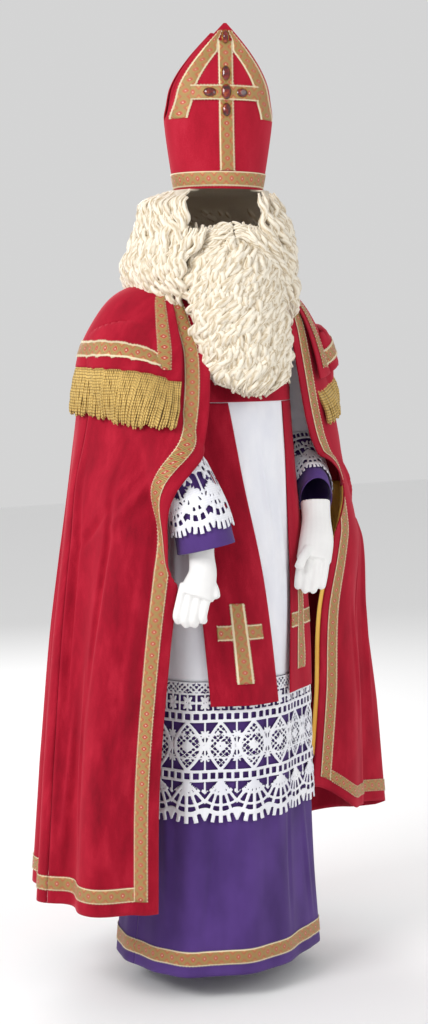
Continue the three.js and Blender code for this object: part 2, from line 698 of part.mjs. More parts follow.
const stoleTop = yokeHem - 2 * seam;
const stoleTables = {
  right: [
    { z: 640, inner: 20, outer: -122, out: 22 },
    { z: 760, inner: 8, outer: -128, out: 20 },
    { z: 960, inner: -16, outer: -136, out: 16 },
    { z: 1120, inner: -38, outer: -144, out: 12 },
    { z: stoleTop, inner: -58, outer: -144, out: 8.5 },
  ],
  left: [
    { z: 652, inner: 54, outer: 150, out: 20 },
    { z: 760, inner: 60, outer: 150, out: 19 },
    { z: 960, inner: 80, outer: 146, out: 14 },
    { z: 1120, inner: 94, outer: 142, out: 11 },
    { z: stoleTop, inner: 94, outer: 140, out: 7.5 },
  ],
};
const crossBar = 30;
const crossLength = 170;
const crossArm = 92;
const crossLift = 46;

function stoleGrid(side) {
  const table = stoleTables[side];
  const foot = table[0].z;
  const top = table[table.length - 1].z;
  const armZ = foot + crossLift + crossLength * 0.64;
  const rows = [
    top, 1180, 1080, 960, foot + crossLift + crossLength, armZ + crossBar / 2, armZ - crossBar / 2,
    foot + crossLift, foot,
  ];
  const width = Math.abs(table[0].inner - table[0].outer);
  const places = [-width / 2, -crossArm / 2, -crossBar / 2, crossBar / 2, crossArm / 2, width / 2];
  const shares = places.map((place) => place / width + 0.5);
  const fromRight = side === "right" ? ["outer", "inner"] : ["inner", "outer"];
  return gridOf(rows, [...shares].reverse(), (share, z) => {
    const at = (column) => valueAt(table, "z", z, column);
    const x = at(fromRight[0]) + (at(fromRight[1]) - at(fromRight[0])) * share;
    return frontPoint(x, z, at("out"));
  });
}

sides.forEach((side) => {
  const panel = stoleGrid(side);
  add("stole_panel_" + side, wall(panel, 0, -velveteen), finishes.redVelveteen);
  const isHole = (i, j) => i !== 1 && j !== 1;
  const cross = { rows: [4, 7], columns: [1, 4], isHole };
  add("stole_cross_" + side, wall(panel, seam + braidCloth, seam, cross), finishes.goldBraid);
});

// Guipure lace. Each repeat has two columns of gaps between cloth. A row of the table is a level down
// the lace, its gap's half width as a share of the repeat, and whether a row of gaps lies below it.
const laceLevels = [
  { fall: 0, half: 0.07, gaps: false },
  { fall: 62, half: 0.08, gaps: true },
  { fall: 80, half: 0.09, gaps: false },
  { fall: 112, half: 0.12, gaps: true },
  { fall: 136, half: 0.12, gaps: false },
  { fall: 190, half: 0.08, gaps: true },
  { fall: 208, half: 0.05, gaps: false },
  { fall: 236, half: 0.13, gaps: true },
  { fall: 262, half: 0.09, gaps: false },
  { fall: 300, half: 0.13, gaps: false },
];
const plainLevels = laceLevels.filter(({ fall }) => fall === 0 || fall > 230); // where the cope hides it
const fanDrop = 16; // how far each fan reaches past the spaces between fans

// A point on rows of points that run round the body, at a place from 0 to 1 along them.
function roundRow(line, share) {
  const place = share * (line.length - 1);
  const j = Math.min(Math.floor(place), line.length - 2);
  return line[j].clone().lerp(line[j + 1], place - j);
}

const laceEndGap = 0.001; // share left open at each side seam
const laceClear = 2.4; // the lace hangs a little outside the cloth that it is sewn to

// Lace on a surface given by a place across it and a share down it, both from 0 to 1.
function laceGrid(at, levels, repeats) {
  const depth = levels[levels.length - 1].fall;
  const columns = Array.from({ length: repeats * 4 + 1 }, (_, k) => k);
  return gridOf(levels, columns, (k, { fall, half }) => {
    const within = [0.25 - half, 0.25 + half, 0.75 - half, 0.75 + half][k % 4];
    const isEnd = k === 0 || k === repeats * 4;
    const end = laceEndGap + Math.sign(k) * (1 - 2 * laceEndGap);
    const share = isEnd ? end : (Math.floor(k / 4) + within) / repeats;
    const fan = Math.abs(within - 0.5) * 4 - 1;
    const down = fall / depth;
    return at(share, down, fanDrop * down * down * fan);
  });
}
const isLaceGap = (levels) => (i, j) => levels[i].gaps && j % 2 === 0;

const laceStretch = [sharedRows.length - 1, sharedRows.length + 1];
const laceRows = movedOut(cassockGrid, rochetDrop + laceClear).slice(...laceStretch);
function hemLacePoint([from, to], share, down, lift) {
  const z = laceTop - seam - (laceTop - laceBottom) * down + lift;
  const [top, foot] = laceRows.map((line) => roundRow(line.slice(from, to + 1), share));
  return top.lerp(foot, (laceTop - z) / (laceTop - skirtRows[0]));
}
const hemRepeats = 8;
const hemLaces = [
  ["front", frontColumns, laceLevels],
  ["back", backColumns, plainLevels],
];
hemLaces.forEach(([place, columns, levels]) => {
  const grid = laceGrid((...at) => hemLacePoint(columns, ...at), levels, hemRepeats);
  const options = { seams: bothSeams, isHole: isLaceGap(levels) };
  add("hem_lace_" + place, wall(grid, 0, -laceCloth, options), finishes.whiteLace);
});

// Lace round each sleeve, in two halves.
const sleeveLaceLevels = [
  { fall: 0, half: 0.08, gaps: false },
  { fall: 27, half: 0.1, gaps: true },
  { fall: 54, half: 0.1, gaps: false },
  { fall: 80, half: 0.12, gaps: true },
  { fall: 107, half: 0.1, gaps: false },
  { fall: 124, half: 0.13, gaps: false },
];
const sleeveRepeats = 4;
const sleeveLaceGap = 0.0008; // share of the sleeve between its cloth and its lace
const sleeveLength = 560;
function sleeveLacePoint(side, share, down, lift) {
  const along = laceStart + sleeveLaceGap + (laceEnd - laceStart) * down - lift / sleeveLength;
  return sleevePoint(side, along, share * 360, rochetSleeveOut + laceClear);
}
sides.forEach((side) => {
  const grid = laceGrid((...at) => sleeveLacePoint(side, ...at), sleeveLaceLevels, sleeveRepeats);
  const halfway = sleeveRepeats * 2;
  [["upper", [0, halfway]], ["lower", [halfway, halfway * 2]]].forEach(([half, columns]) => {
    const options = { columns, seams: bothSeams, isHole: isLaceGap(sleeveLaceLevels) };
    add("sleeve_lace_" + side + "_" + half, wall(grid, 0, -laceCloth, options), finishes.whiteLace);
  });
});

// The head's own frame: x to its left, y behind its face, turned about the axis of the neck.
const headPoint = (x, y, z) => vec(x, y, z).applyAxisAngle(vec(0, 0, 1), radians(headTurn));

// The mitre: half width and roundness of each shield by height above its rim, and its depth.
const mitreRim = 1722;
const mitreFelt = 2.6;
const shieldGap = 0.7; // half the clearance between the two shields at the sides
const mitreTable = [
  { height: 0, half: 94, round: 94, deep: 98 },
  { height: 5, half: 95, round: 95, deep: 97 },
  { height: 36, half: 101, round: 101, deep: 95 },
  { height: 109, half: 112, round: 112.5, deep: 87 },
  { height: 147, half: 115, round: 117, deep: 84 },
  { height: 181, half: 108, round: 118, deep: 81 },
  { height: 217, half: 99, round: 118, deep: 78 },
  { height: 252, half: 80, round: 118, deep: 75 },
  { height: 288, half: 53, round: 118, deep: 72 },
  { height: 313, half: 31, round: 118, deep: 70 },
  { height: 343, half: 3, round: 118, deep: 68 },
];
const mitreMargin = 6;
const mitreBraid = 33; // width of the edge braid measured across, as it runs at a slant
const mitreRows = [...mitreTable].reverse();

// Distances of a shield's columns from its middle: its edge, both sides of the edge braid, and the bar.
function shieldPlaces(half) {
  const outer = half - Math.min(mitreMargin, 0.25 * half);
  const bar = Math.min(braidWidth / 2, 0.5 * outer);
  const inner = Math.max(outer - mitreBraid, bar * 1.04);
  return [half, outer, inner, bar];
}

const shieldGrid = mitreRows.map(({ height, half, round, deep }) => {
  const places = shieldPlaces(half);
  return [...places, ...[...places].reverse().map((x) => -x)].map((x) => {
    const y = -shieldGap - deep * Math.sqrt(1 - (x / round) ** 2);
    return headPoint(x, y, mitreRim + height);
  });
});
const halfTurned = (p) => p.clone().applyAxisAngle(vec(0, 0, 1), Math.PI);
const shields = { front: shieldGrid, back: shieldGrid.map((line) => line.map(halfTurned)) };
const mitreRow = (height) => mitreRows.findIndex((row) => row.height === height);
const closedAbove = mitreRow(147);
const shieldLast = shieldGrid[0].length - 1;
const braidOnFelt = [seam + braidCloth, seam];
Object.entries(shields).forEach(([place, grid]) => {
  add("mitre_" + place, wall(grid, 0, -mitreFelt), finishes.redFelt);
  const isInside = (i, j) => i > 0 && j > 0 && j < shieldLast - 3;
  const edge = { rows: [1, closedAbove + 1], columns: [1, shieldLast - 1], isHole: isInside };
  add("mitre_edge_braid_" + place, wall(grid, ...braidOnFelt, edge), finishes.goldBraid);
});
const barRows = [2, mitreRow(36)];
const barGrid = partOf(shieldGrid, barRows, [3, 4]);
barGrid[0].forEach((p) => p.setZ(p.z - seam));
barGrid[barGrid.length - 1].forEach((p) => p.setZ(p.z + seam));
add("mitre_upright_bar", wall(barGrid, ...braidOnFelt), finishes.goldBraid);
const crossBarOut = 2 * seam + braidCloth;
const crossBarRows = [mitreRow(217), mitreRow(181)];
const crossBarWindow = { rows: crossBarRows, columns: [2, shieldLast - 2], seams: bothSeams };
const crossBarWall = wall(shieldGrid, crossBarOut + braidCloth, crossBarOut, crossBarWindow);
add("mitre_cross_bar", crossBarWall, finishes.goldBraid);

const aroundMitre = (i) => [...shields.front[i], ...shields.back[i], shields.front[i][0]];
const bandGrid = [aroundMitre(mitreRow(36)), aroundMitre(mitreRow(5))];
add("mitre_band", wall(bandGrid, ...braidOnFelt, { isTube: true }), finishes.goldBraid);

// The soft crown between the shields: from edge to edge over a folded valley.
const crownCloth = 1.6;
const crownInset = mitreFelt + crownCloth + 0.5;
const valleyHeight = 150;
const valleyDraw = 0.93; // the folded valley is drawn in towards the middle
const valleyRise = 0.06;
const crownGrid = (() => {
  const inside = movedOut(shieldGrid, -crownInset);
  const alongEdge = (column) => inside.slice(1, closedAbove + 1).map((line) => line[column]);
  const front = [...alongEdge(1).reverse(), ...alongEdge(shieldLast - 1)];
  const back = [...alongEdge(shieldLast - 1).reverse(), ...alongEdge(1)].map(halfTurned);
  const valley = front.map((p, i) => {
    const middle = p.clone().add(back[i]).multiplyScalar(0.5);
    const low = mitreRim + valleyHeight;
    return vec(middle.x * valleyDraw, middle.y * valleyDraw, low + (p.z - low) * valleyRise);
  });
  return [back, valley, front];
})();
add("mitre_crown", wall(crownGrid, 0, -crownCloth), finishes.redFelt);

// Cut stones of the mitre: place across the shield, height, size, and how far it stands off the felt.
const gems = [
  { name: "top", x: 0, height: 314, wide: 13, high: 27, off: 2.2 },
  { name: "upper", x: 0, height: 239, wide: 18, high: 30, off: 1.5 },
  { name: "centre", x: 0, height: 200, wide: 21, high: 31, off: 3.1 },
  { name: "right", x: -34, height: 199, wide: 27, high: 19, off: 2.3 },
  { name: "left", x: 34, height: 199, wide: 25, high: 19, off: 2.5 },
  { name: "lower", x: 0, height: 163, wide: 18, high: 28, off: 1.5 },
];
const gemSides = 8;
const gemRise = 6;

function shieldPoint(x, height) {
  const at = (column) => valueAt(mitreTable, "height", height, column);
  return headPoint(x, -shieldGap - at("deep") * Math.sqrt(1 - (x / at("round")) ** 2), mitreRim + height);
}

gems.forEach(({ name, x, height, wide, high, off }) => {
  const across = shieldPoint(x - 8, height).sub(shieldPoint(x + 8, height)).normalize();
  const down = shieldPoint(x, height - 12).sub(shieldPoint(x, height + 12)).normalize();
  const out = across.clone().cross(down).normalize();
  const centre = shieldPoint(x, height);
  const ring = (scale, rise) =>
    steps(0, 360, gemSides).slice(1).map((angle) =>
      centre
        .clone()
        .addScaledVector(across, (Math.cos(radians(angle)) * wide * scale) / 2)
        .addScaledVector(down, (Math.sin(radians(angle)) * high * scale) / 2)
        .addScaledVector(out, off + rise),
    );
  add("mitre_gem_" + name, filledRings([ring(1, 0), ring(0.6, gemRise)]), finishes.redGlass);
});

// What the hair lies on: the shoulders in the cape, filled up to its outside.
const hairSeat = seam + braidCloth + 0.5;
const overCope = movedOut(copeGrid, hairSeat).slice(0, 7);
const shoulders = [filledRings(movedOut(capeGrid, hairSeat)), filledRings(overCope)];

// The wig: a shell of curls open at the face, by height. The cap goes inside the mitre, whose rim rests
// on the ledge below it.
const hairCloth = 12;
const wigTable = [
  { z: 1440, radius: 150, open: 64, shift: 0 },
  { z: 1500, radius: 172, open: 60, shift: -10 },
  { z: 1560, radius: 177, open: 55, shift: -20 },
  { z: 1600, radius: 168, open: 47, shift: -14 },
  { z: 1650, radius: 155, open: 42, shift: -11 },
  { z: 1690, radius: 145, open: 43, shift: -16 },
];
const wigRows = [
  { z: 1800, radius: 50 },
  { z: 1762, radius: 82 },
  { z: mitreRim - 0.6, radius: 88 },
  { z: mitreRim - 0.6, radius: 112 },
  ...[1685, 1640, 1600, 1555, 1500, 1440].map((z) => ({ z, radius: valueAt(wigTable, "z", z, "radius") })),
];
const wigCurls = 7; // curls stand out by this much
const capOpen = 42; // degrees from the middle of the face to each side of the opening
const wigLong = 0.06; // the head is this much longer than it is wide
const wigColumns = steps(0, 1, 13);
const wigGrid = gridOf(wigRows, wigColumns, (share, { z, radius }) => {
  const isCap = z > 1700;
  const open = isCap ? capOpen : valueAt(wigTable, "z", z, "open");
  const shift = isCap ? 0 : valueAt(wigTable, "z", z, "shift");
  const curl = isCap ? 0 : wigCurls * Math.sin(share * 31 + z * 0.05) * Math.cos(z * 0.07 + share * 9);
  const turn = radians(open + (360 - 2 * open) * share);
  const long = 1 + wigLong * Math.cos(turn) ** 2;
  const reach = radius + curl;
  return headPoint(shift - reach * Math.sin(turn), -reach * long * Math.cos(turn), z);
});
const wigInner = movedOut(wigGrid, -hairCloth);
add("wig", cutBy(wallBetween(wigGrid, wigInner), shoulders), finishes.creamHair);

// The beard: its middle line, half width and facing by height, and how far its sides lie back.
const beardTable = [
  { z: 1288, x: -26, y: -176, half: 62, facing: -10, back: 22 },
  { z: 1310, x: -28, y: -180, half: 88, facing: -11, back: 30 },
  { z: 1360, x: -33, y: -182, half: 98, facing: -13, back: 36 },
  { z: 1450, x: -52, y: -172, half: 105, facing: -17, back: 42 },
  { z: 1540, x: -60, y: -158, half: 104, facing: -21, back: 46 },
  { z: 1600, x: -56, y: -140, half: 96, facing: -23, back: 50 },
  { z: 1655, x: -46, y: -112, half: 82, facing: -23, back: 52 },
];
const beardThick = 50;
const beardCurls = 5;
const beardRows = [1655, 1600, 1550, 1500, 1440, 1380, 1320, 1288];

function beardPoint(place, z, out) {
  const at = (column) => valueAt(beardTable, "z", z, column);
  const curl = beardCurls * Math.sin(z * 0.062 + place * 2.2) * Math.cos(place * 7 + z * 0.021);
  const thin = 1 - 0.2 * place * place;
  const reach = out >= 0 ? out + curl : out * thin;
  const local = vec(place * at("half"), at("back") * place * place - reach, 0);
  return local.applyAxisAngle(vec(0, 0, 1), radians(at("facing"))).add(vec(at("x"), at("y"), z));
}
const acrossBeard = steps(1, -1, 10);
const beardOuter = gridOf(beardRows, acrossBeard, (place, z) => beardPoint(place, z, 0));
const beardInner = gridOf(beardRows, acrossBeard, (place, z) => beardPoint(place, z, -beardThick));
add("beard", cutBy(wallBetween(beardOuter, beardInner), shoulders), finishes.creamHair);

// The moustache lies on the top of the beard and droops at both ends.
const moustacheHigh = 34;
const moustacheTop = 1652;
const moustacheDroop = 26;
const acrossMoustache = steps(0.78, -0.78, 6);
const moustacheSide = (out) =>
  gridOf([0, 0.3, 0.7, 1], acrossMoustache, (place, share) => {
    const droop = moustacheDroop * place * place;
    const full = Math.sin(Math.PI * (0.12 + 0.76 * share));
    return beardPoint(place, moustacheTop - droop - moustacheHigh * share, out * full + 0.01);
  });
const overBeard = wallBetween(movedOut(beardOuter, 0.5), beardInner);
add("moustache", cutBy(wallBetween(moustacheSide(14), moustacheSide(0)), [overBeard]), finishes.creamHair);

// Gloves: a hollow hand from its cuff to the knuckles, with fingers bent from there.
const gloveCloth = 1.4;
const gloveSides = 8;
const fingerSides = 5;
const fingerRadius = 9.5;
const gloves = {
  right: {
    palm: [
      { x: -173, y: -184, z: 1004, wide: 30, thick: 26 },
      { x: -176, y: -191.5, z: 968, wide: 26, thick: 22 },
      { x: -179, y: -203, z: 932, wide: 29, thick: 20 },
      { x: -197, y: -202, z: 886, wide: 38, thick: 19 },
    ],
    knuckle: vec(-198, -201, 895),
    bend: vec(-212, -199, 842),
    tip: vec(-200, -191, 826),
    thumb: [vec(-171, -208, 926), vec(-162, -220, 898), vec(-162, -223, 880)],
  },
  left: {
    palm: [
      { x: 180, y: -114, z: 1052, wide: 33, thick: 27 },
      { x: 172, y: -129, z: 1016, wide: 31, thick: 24 },
      { x: 152, y: -156, z: 972, wide: 38, thick: 21 },
      { x: 130, y: -174, z: 932, wide: 38, thick: 19 },
    ],
    knuckle: vec(134, -171, 942),
    bend: vec(110, -190, 896),
    tip: vec(102, -194, 868),
    thumb: [vec(122, -166, 958), vec(92, -182, 938), vec(78, -186, 918)],
  },
};

// Rings of a tube through points, with the same half width across the view and along it.
function ringsThrough(path, count) {
  return path.map((place, i) => {
    const ahead = path[Math.min(i + 1, path.length - 1)];
    const behind = path[Math.max(i - 1, 0)];
    const along = vec(ahead.x - behind.x, ahead.y - behind.y, ahead.z - behind.z).normalize();
    const first = acrossView.clone().addScaledVector(along, -acrossView.dot(along)).normalize();
    const centre = vec(place.x, place.y, place.z);
    const tube = { centre, first, second: along.clone().cross(first), wide: place.wide, deep: place.thick };
    return (out) => steps(0, 360, count).slice(1).map((angle) => onTube(tube, angle, out));
  });
}
const withRadius = (point, radius) => ({ x: point.x, y: point.y, z: point.z, wide: radius, thick: radius });

Object.entries(gloves).forEach(([side, { palm, knuckle, bend, tip, thumb }]) => {
  const rings = ringsThrough(palm, gloveSides);
  const outer = filledRings(rings.map((ring) => ring(0)));
  const mouth = palm[0];
  const above = { ...mouth, z: mouth.z + 2 };
  const innerRings = ringsThrough([above, ...palm.slice(1)], gloveSides).map((ring) => ring(-gloveCloth));
  const hollow = filledRings(innerRings.slice(0, -1));
  const fingers = [-1.5, -0.5, 0.5, 1.5].map((place) => {
    const across = acrossView.clone().multiplyScalar(place * fingerRadius * 1.9);
    const moved = [knuckle, bend, tip].map((p) => p.clone().add(across));
    const route = moved.map((p, i) => withRadius(p, fingerRadius - i * 0.8));
    return filledRings(ringsThrough(route, fingerSides).map((ring) => ring(0)));
  });
  const thumbRoute = thumb.map((p, i) => withRadius(p, fingerRadius + 1 - i));
  const thumbTube = filledRings(ringsThrough(thumbRoute, fingerSides).map((ring) => ring(0)));
  const hand = joined([outer, ...fingers, thumbTube]);
  add("glove_" + side, cutBy(hand, [hollow]), finishes.whiteCotton);
});

group.position.set(0, -neckDepth, -neckHeight);
group.updateMatrixWorld(true);

export default group;
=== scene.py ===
# A Saint Nicholas costume as it is worn, empty: mitre, curly wig and beard, lined cope with a fringed
# cape, stole, lace rochet, cassock and gloves. Sizes are millimetres from the floor until a mesh is made.
import json
import math
import bpy
import numpy as np
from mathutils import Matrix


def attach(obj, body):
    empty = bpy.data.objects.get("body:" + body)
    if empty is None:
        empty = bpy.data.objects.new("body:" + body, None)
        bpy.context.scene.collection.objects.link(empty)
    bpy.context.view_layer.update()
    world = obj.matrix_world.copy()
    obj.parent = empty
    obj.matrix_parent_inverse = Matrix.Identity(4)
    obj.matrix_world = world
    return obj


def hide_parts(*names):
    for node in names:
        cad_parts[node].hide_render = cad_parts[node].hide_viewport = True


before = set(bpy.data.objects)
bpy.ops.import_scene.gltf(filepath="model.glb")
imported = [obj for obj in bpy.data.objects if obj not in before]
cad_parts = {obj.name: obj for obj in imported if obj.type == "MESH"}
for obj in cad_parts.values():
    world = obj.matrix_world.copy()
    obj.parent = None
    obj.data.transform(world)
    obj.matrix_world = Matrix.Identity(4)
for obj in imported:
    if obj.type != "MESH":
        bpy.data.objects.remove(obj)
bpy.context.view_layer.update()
print("frame loaded")

neck = np.array([0.0, 22.0, 1545.0])  # the neck opening, which is the frame's origin
randomly = np.random.default_rng(6)  # seeded, so each run gives the same costume

# Camera and lights
cameraSettings = {"azimuth": -35.0, "distance": 3900.0, "height": 1450.0, "tilt": 6.15, "lens": 63.0}


def towards(azimuth, distance, height):
    turn = math.radians(azimuth)
    spot = np.array([math.sin(turn) * distance, -math.cos(turn) * distance, height])
    return tuple((spot - neck) / 1000)


cameraData = bpy.data.cameras.new("studioCamera")
cameraData.lens = cameraSettings["lens"]
cameraData.sensor_width = 36
cameraData.sensor_fit = "VERTICAL"
cameraData.sensor_height = 36
cameraData.shift_x = -0.004  # the figure stands a little right of the picture's middle
camera = bpy.data.objects.new("studioCamera", cameraData)
camera.location = towards(cameraSettings["azimuth"], cameraSettings["distance"], cameraSettings["height"])
camera.rotation_euler = (math.radians(90 - cameraSettings["tilt"]), 0,
                         math.radians(cameraSettings["azimuth"]))
bpy.context.scene.collection.objects.link(camera)
bpy.context.scene.camera = camera
bpy.context.scene.view_settings.view_transform = "Standard"  # keeps the dyed reds as deep as the cloth's

lights = {
    "keyLight": {"azimuth": -80, "distance": 3300, "height": 2900, "size": 1.6, "power": 88},
    "fillLight": {"azimuth": 20, "distance": 3600, "height": 2300, "size": 2.2, "power": 30},
    "backLight": {"azimuth": 160, "distance": 3300, "height": 2700, "size": 2.0, "power": 60},
}
for name, light in lights.items():
    data = bpy.data.lights.new(name, "AREA")
    data.size = light["size"]
    data.energy = light["power"]
    lamp = bpy.data.objects.new(name, data)
    lamp.location = towards(light["azimuth"], light["distance"], light["height"])
    aim = -(np.array(lamp.location) - np.array([0, 0, -0.5]))
    level = math.hypot(aim[0], aim[1])
    lamp.rotation_euler = (math.pi / 2 + math.atan2(aim[2], level), 0,
                           math.atan2(aim[1], aim[0]) - math.pi / 2)
    bpy.context.scene.collection.objects.link(lamp)


# Materials
def linear(hexColour):
    values = [int(hexColour[i : i + 2], 16) / 255 for i in (1, 3, 5)]
    return tuple(v / 12.92 if v < 0.04045 else ((v + 0.055) / 1.055) ** 2.4 for v in values) + (1.0,)


def addNode(tree, kind, links=None, **settings):
    node = tree.nodes.new(kind)
    for key, value in settings.items():
        setattr(node, key, value)
    for key, value in (links or {}).items():
        if isinstance(value, bpy.types.NodeSocket):
            tree.links.new(value, node.inputs[key])
        else:
            node.inputs[key].default_value = value
    return node


def newMaterial(name):
    material = bpy.data.materials.new(name)
    material.use_nodes = True
    material.node_tree.nodes.clear()
    return material, material.node_tree


def setStops(ramp, stops, interpolation="LINEAR"):
    ramp.color_ramp.interpolation = interpolation
    while len(ramp.color_ramp.elements) < len(stops):
        ramp.color_ramp.elements.new(0.5)
    for element, (place, colour) in zip(ramp.color_ramp.elements, stops):
        element.position = place
        element.color = colour if isinstance(colour, tuple) else linear(colour)
    return ramp.outputs["Color"]


def finished(tree, shader):
    addNode(tree, "ShaderNodeOutputMaterial", {"Surface": shader.outputs[0]})


# Woven cloth: threads cross at a real spacing with painted shade in the gaps between them, the dye is a
# little uneven, and folds are softly shaded.
def wovenCloth(name, dark, light, threadMm, rough, sheen, bumpMm):
    material, tree = newMaterial(name)
    place = addNode(tree, "ShaderNodeTexCoord").outputs["UV"]
    grain = addNode(tree, "ShaderNodeMapping", {"Vector": place, "Scale": (1 / threadMm, 1 / threadMm, 1)})
    warp = addNode(tree, "ShaderNodeTexWave", {"Vector": grain.outputs[0], "Scale": 0.314, "Distortion": 0.6},
                   bands_direction="X")
    weft = addNode(tree, "ShaderNodeTexWave", {"Vector": grain.outputs[0], "Scale": 0.314, "Distortion": 0.6},
                   bands_direction="Y")
    threads = addNode(tree, "ShaderNodeMath", {0: warp.outputs["Fac"], 1: weft.outputs["Fac"]},
                      operation="MULTIPLY")
    cloud = addNode(tree, "ShaderNodeMapping", {"Vector": place, "Scale": (0.012, 0.006, 1)})
    uneven = addNode(tree, "ShaderNodeTexNoise", {"Vector": cloud.outputs[0], "Scale": 1.0, "Detail": 5.0})
    # Painted shade: the colour darkens where the threads dip, over the uneven dye.
    shade = addNode(tree, "ShaderNodeMath", {0: threads.outputs[0], 1: 0.35, 2: uneven.outputs["Fac"]},
                    operation="MULTIPLY_ADD")
    ramp = addNode(tree, "ShaderNodeValToRGB", {"Fac": shade.outputs[0]})
    colour = setStops(ramp, [(0.3, dark), (0.85, light)])
    raised = addNode(tree, "ShaderNodeBump", {"Height": threads.outputs[0], "Strength": 0.5,
                                              "Distance": bumpMm / 1000})
    shader = addNode(tree, "ShaderNodeBsdfPrincipled", {
        "Base Color": colour, "Roughness": rough, "Sheen Weight": sheen, "Sheen Roughness": 0.5,
        "Specular IOR Level": 0.25, "Normal": raised.outputs[0]})
    finished(tree, shader)
    return material


# Velveteen: short pile that is dark where it is looked into and painted brighter, as a sheen, where it is
# seen at a slant.
def velveteenCloth(name, deep, body, lit, napMm, bumpMm, sheen):
    material, tree = newMaterial(name)
    place = addNode(tree, "ShaderNodeTexCoord").outputs["UV"]
    streak = addNode(tree, "ShaderNodeMapping", {"Vector": place, "Scale": (0.02, 0.007, 1)})
    brushed = addNode(tree, "ShaderNodeTexNoise", {"Vector": streak.outputs[0], "Scale": 1.0, "Detail": 6.0,
                                                   "Roughness": 0.62})
    pileMap = addNode(tree, "ShaderNodeMapping", {"Vector": place, "Scale": (1 / napMm, 1 / napMm, 1)})
    pile = addNode(tree, "ShaderNodeTexNoise", {"Vector": pileMap.outputs[0], "Scale": 1.0, "Detail": 2.0})
    facing = addNode(tree, "ShaderNodeLayerWeight", {"Blend": 0.35})
    # Painted shade in the pile's dips, where its relief is low; the brushed streaks mottle it at random.
    shade = addNode(tree, "ShaderNodeMath", {0: pile.outputs["Fac"], 1: 0.3, 2: brushed.outputs["Fac"]},
                    operation="MULTIPLY_ADD")
    ramp = addNode(tree, "ShaderNodeValToRGB", {"Fac": shade.outputs[0]})
    colour = setStops(ramp, [(0.3, deep), (0.66, body), (0.95, lit)])
    # Painted sheen: the lit colour is mixed in where the cloth is seen at a slant.
    edge = addNode(tree, "ShaderNodeMix", {"Factor": facing.outputs["Facing"], "A": colour, "B": linear(lit)},
                   data_type="RGBA")
    raised = addNode(tree, "ShaderNodeBump", {"Height": pile.outputs["Fac"], "Strength": 0.55,
                                              "Distance": bumpMm / 1000})
    shader = addNode(tree, "ShaderNodeBsdfPrincipled", {
        "Base Color": edge.outputs["Result"], "Roughness": 0.82, "Sheen Weight": sheen,
        "Sheen Roughness": 0.35, "Sheen Tint": linear("#f0a0a8"), "Specular IOR Level": 0.15,
        "Normal": raised.outputs[0]})
    finished(tree, shader)
    return material


# Woven braid: red diamonds with cream hearts every 24.5 mm on a gold and olive zigzag ground,
# cream along both edges. U runs along the braid and V across it, both in millimetres.
braidPattern = {"repeatMm": 24.5, "widthMm": 30.0, "ribMm": 2.4}


def braidCloth(name):
    material, tree = newMaterial(name)
    place = addNode(tree, "ShaderNodeTexCoord").outputs["UV"]
    unit = addNode(tree, "ShaderNodeMapping", {
        "Vector": place, "Scale": (1 / braidPattern["repeatMm"], 1 / braidPattern["widthMm"], 1)})
    diamonds = addNode(tree, "ShaderNodeTexVoronoi", {"Vector": unit.outputs[0], "Scale": 1.0,
                                                      "Randomness": 0.0},
                       voronoi_dimensions="2D", distance="MANHATTAN")
    ramp = addNode(tree, "ShaderNodeValToRGB", {"Fac": diamonds.outputs["Distance"]})
    ground = setStops(ramp, [(0.0, "#e9dcc0"), (0.07, "#b5362c"), (0.24, "#cdae6a"), (0.3, "#6e582a"),
                             (0.37, "#b9985a"), (0.46, "#7a6232"), (0.53, "#b3935a"), (0.62, "#b23a2c"),
                             (0.74, "#c4a566")], "CONSTANT")
    parts = addNode(tree, "ShaderNodeSeparateXYZ", {"Vector": unit.outputs[0]})
    fromMiddle = addNode(tree, "ShaderNodeMath", {0: parts.outputs["Y"]}, operation="ABSOLUTE")
    rim = addNode(tree, "ShaderNodeMath", {0: fromMiddle.outputs[0], 1: 0.43}, operation="GREATER_THAN")
    colour = addNode(tree, "ShaderNodeMix", {"Factor": rim.outputs[0], "A": ground, "B": linear("#e8dab8")},
                     data_type="RGBA")
    rib = addNode(tree, "ShaderNodeMapping", {"Vector": place, "Scale": (1 / braidPattern["ribMm"], 0.6, 1)})
    ribs = addNode(tree, "ShaderNodeTexWave", {"Vector": rib.outputs[0], "Scale": 0.314, "Distortion": 0.8})
    height = addNode(tree, "ShaderNodeMath", {0: ribs.outputs["Fac"], 1: 0.5,
                                              2: diamonds.outputs["Distance"]}, operation="MULTIPLY_ADD")
    raised = addNode(tree, "ShaderNodeBump", {"Height": height.outputs[0], "Strength": 0.6,
                                              "Distance": 0.0012})
    shader = addNode(tree, "ShaderNodeBsdfPrincipled", {
        "Base Color": colour.outputs["Result"], "Roughness": 0.48, "Metallic": 0.22, "Sheen Weight": 0.1,
        "Normal": raised.outputs[0]})
    finished(tree, shader)
    return material
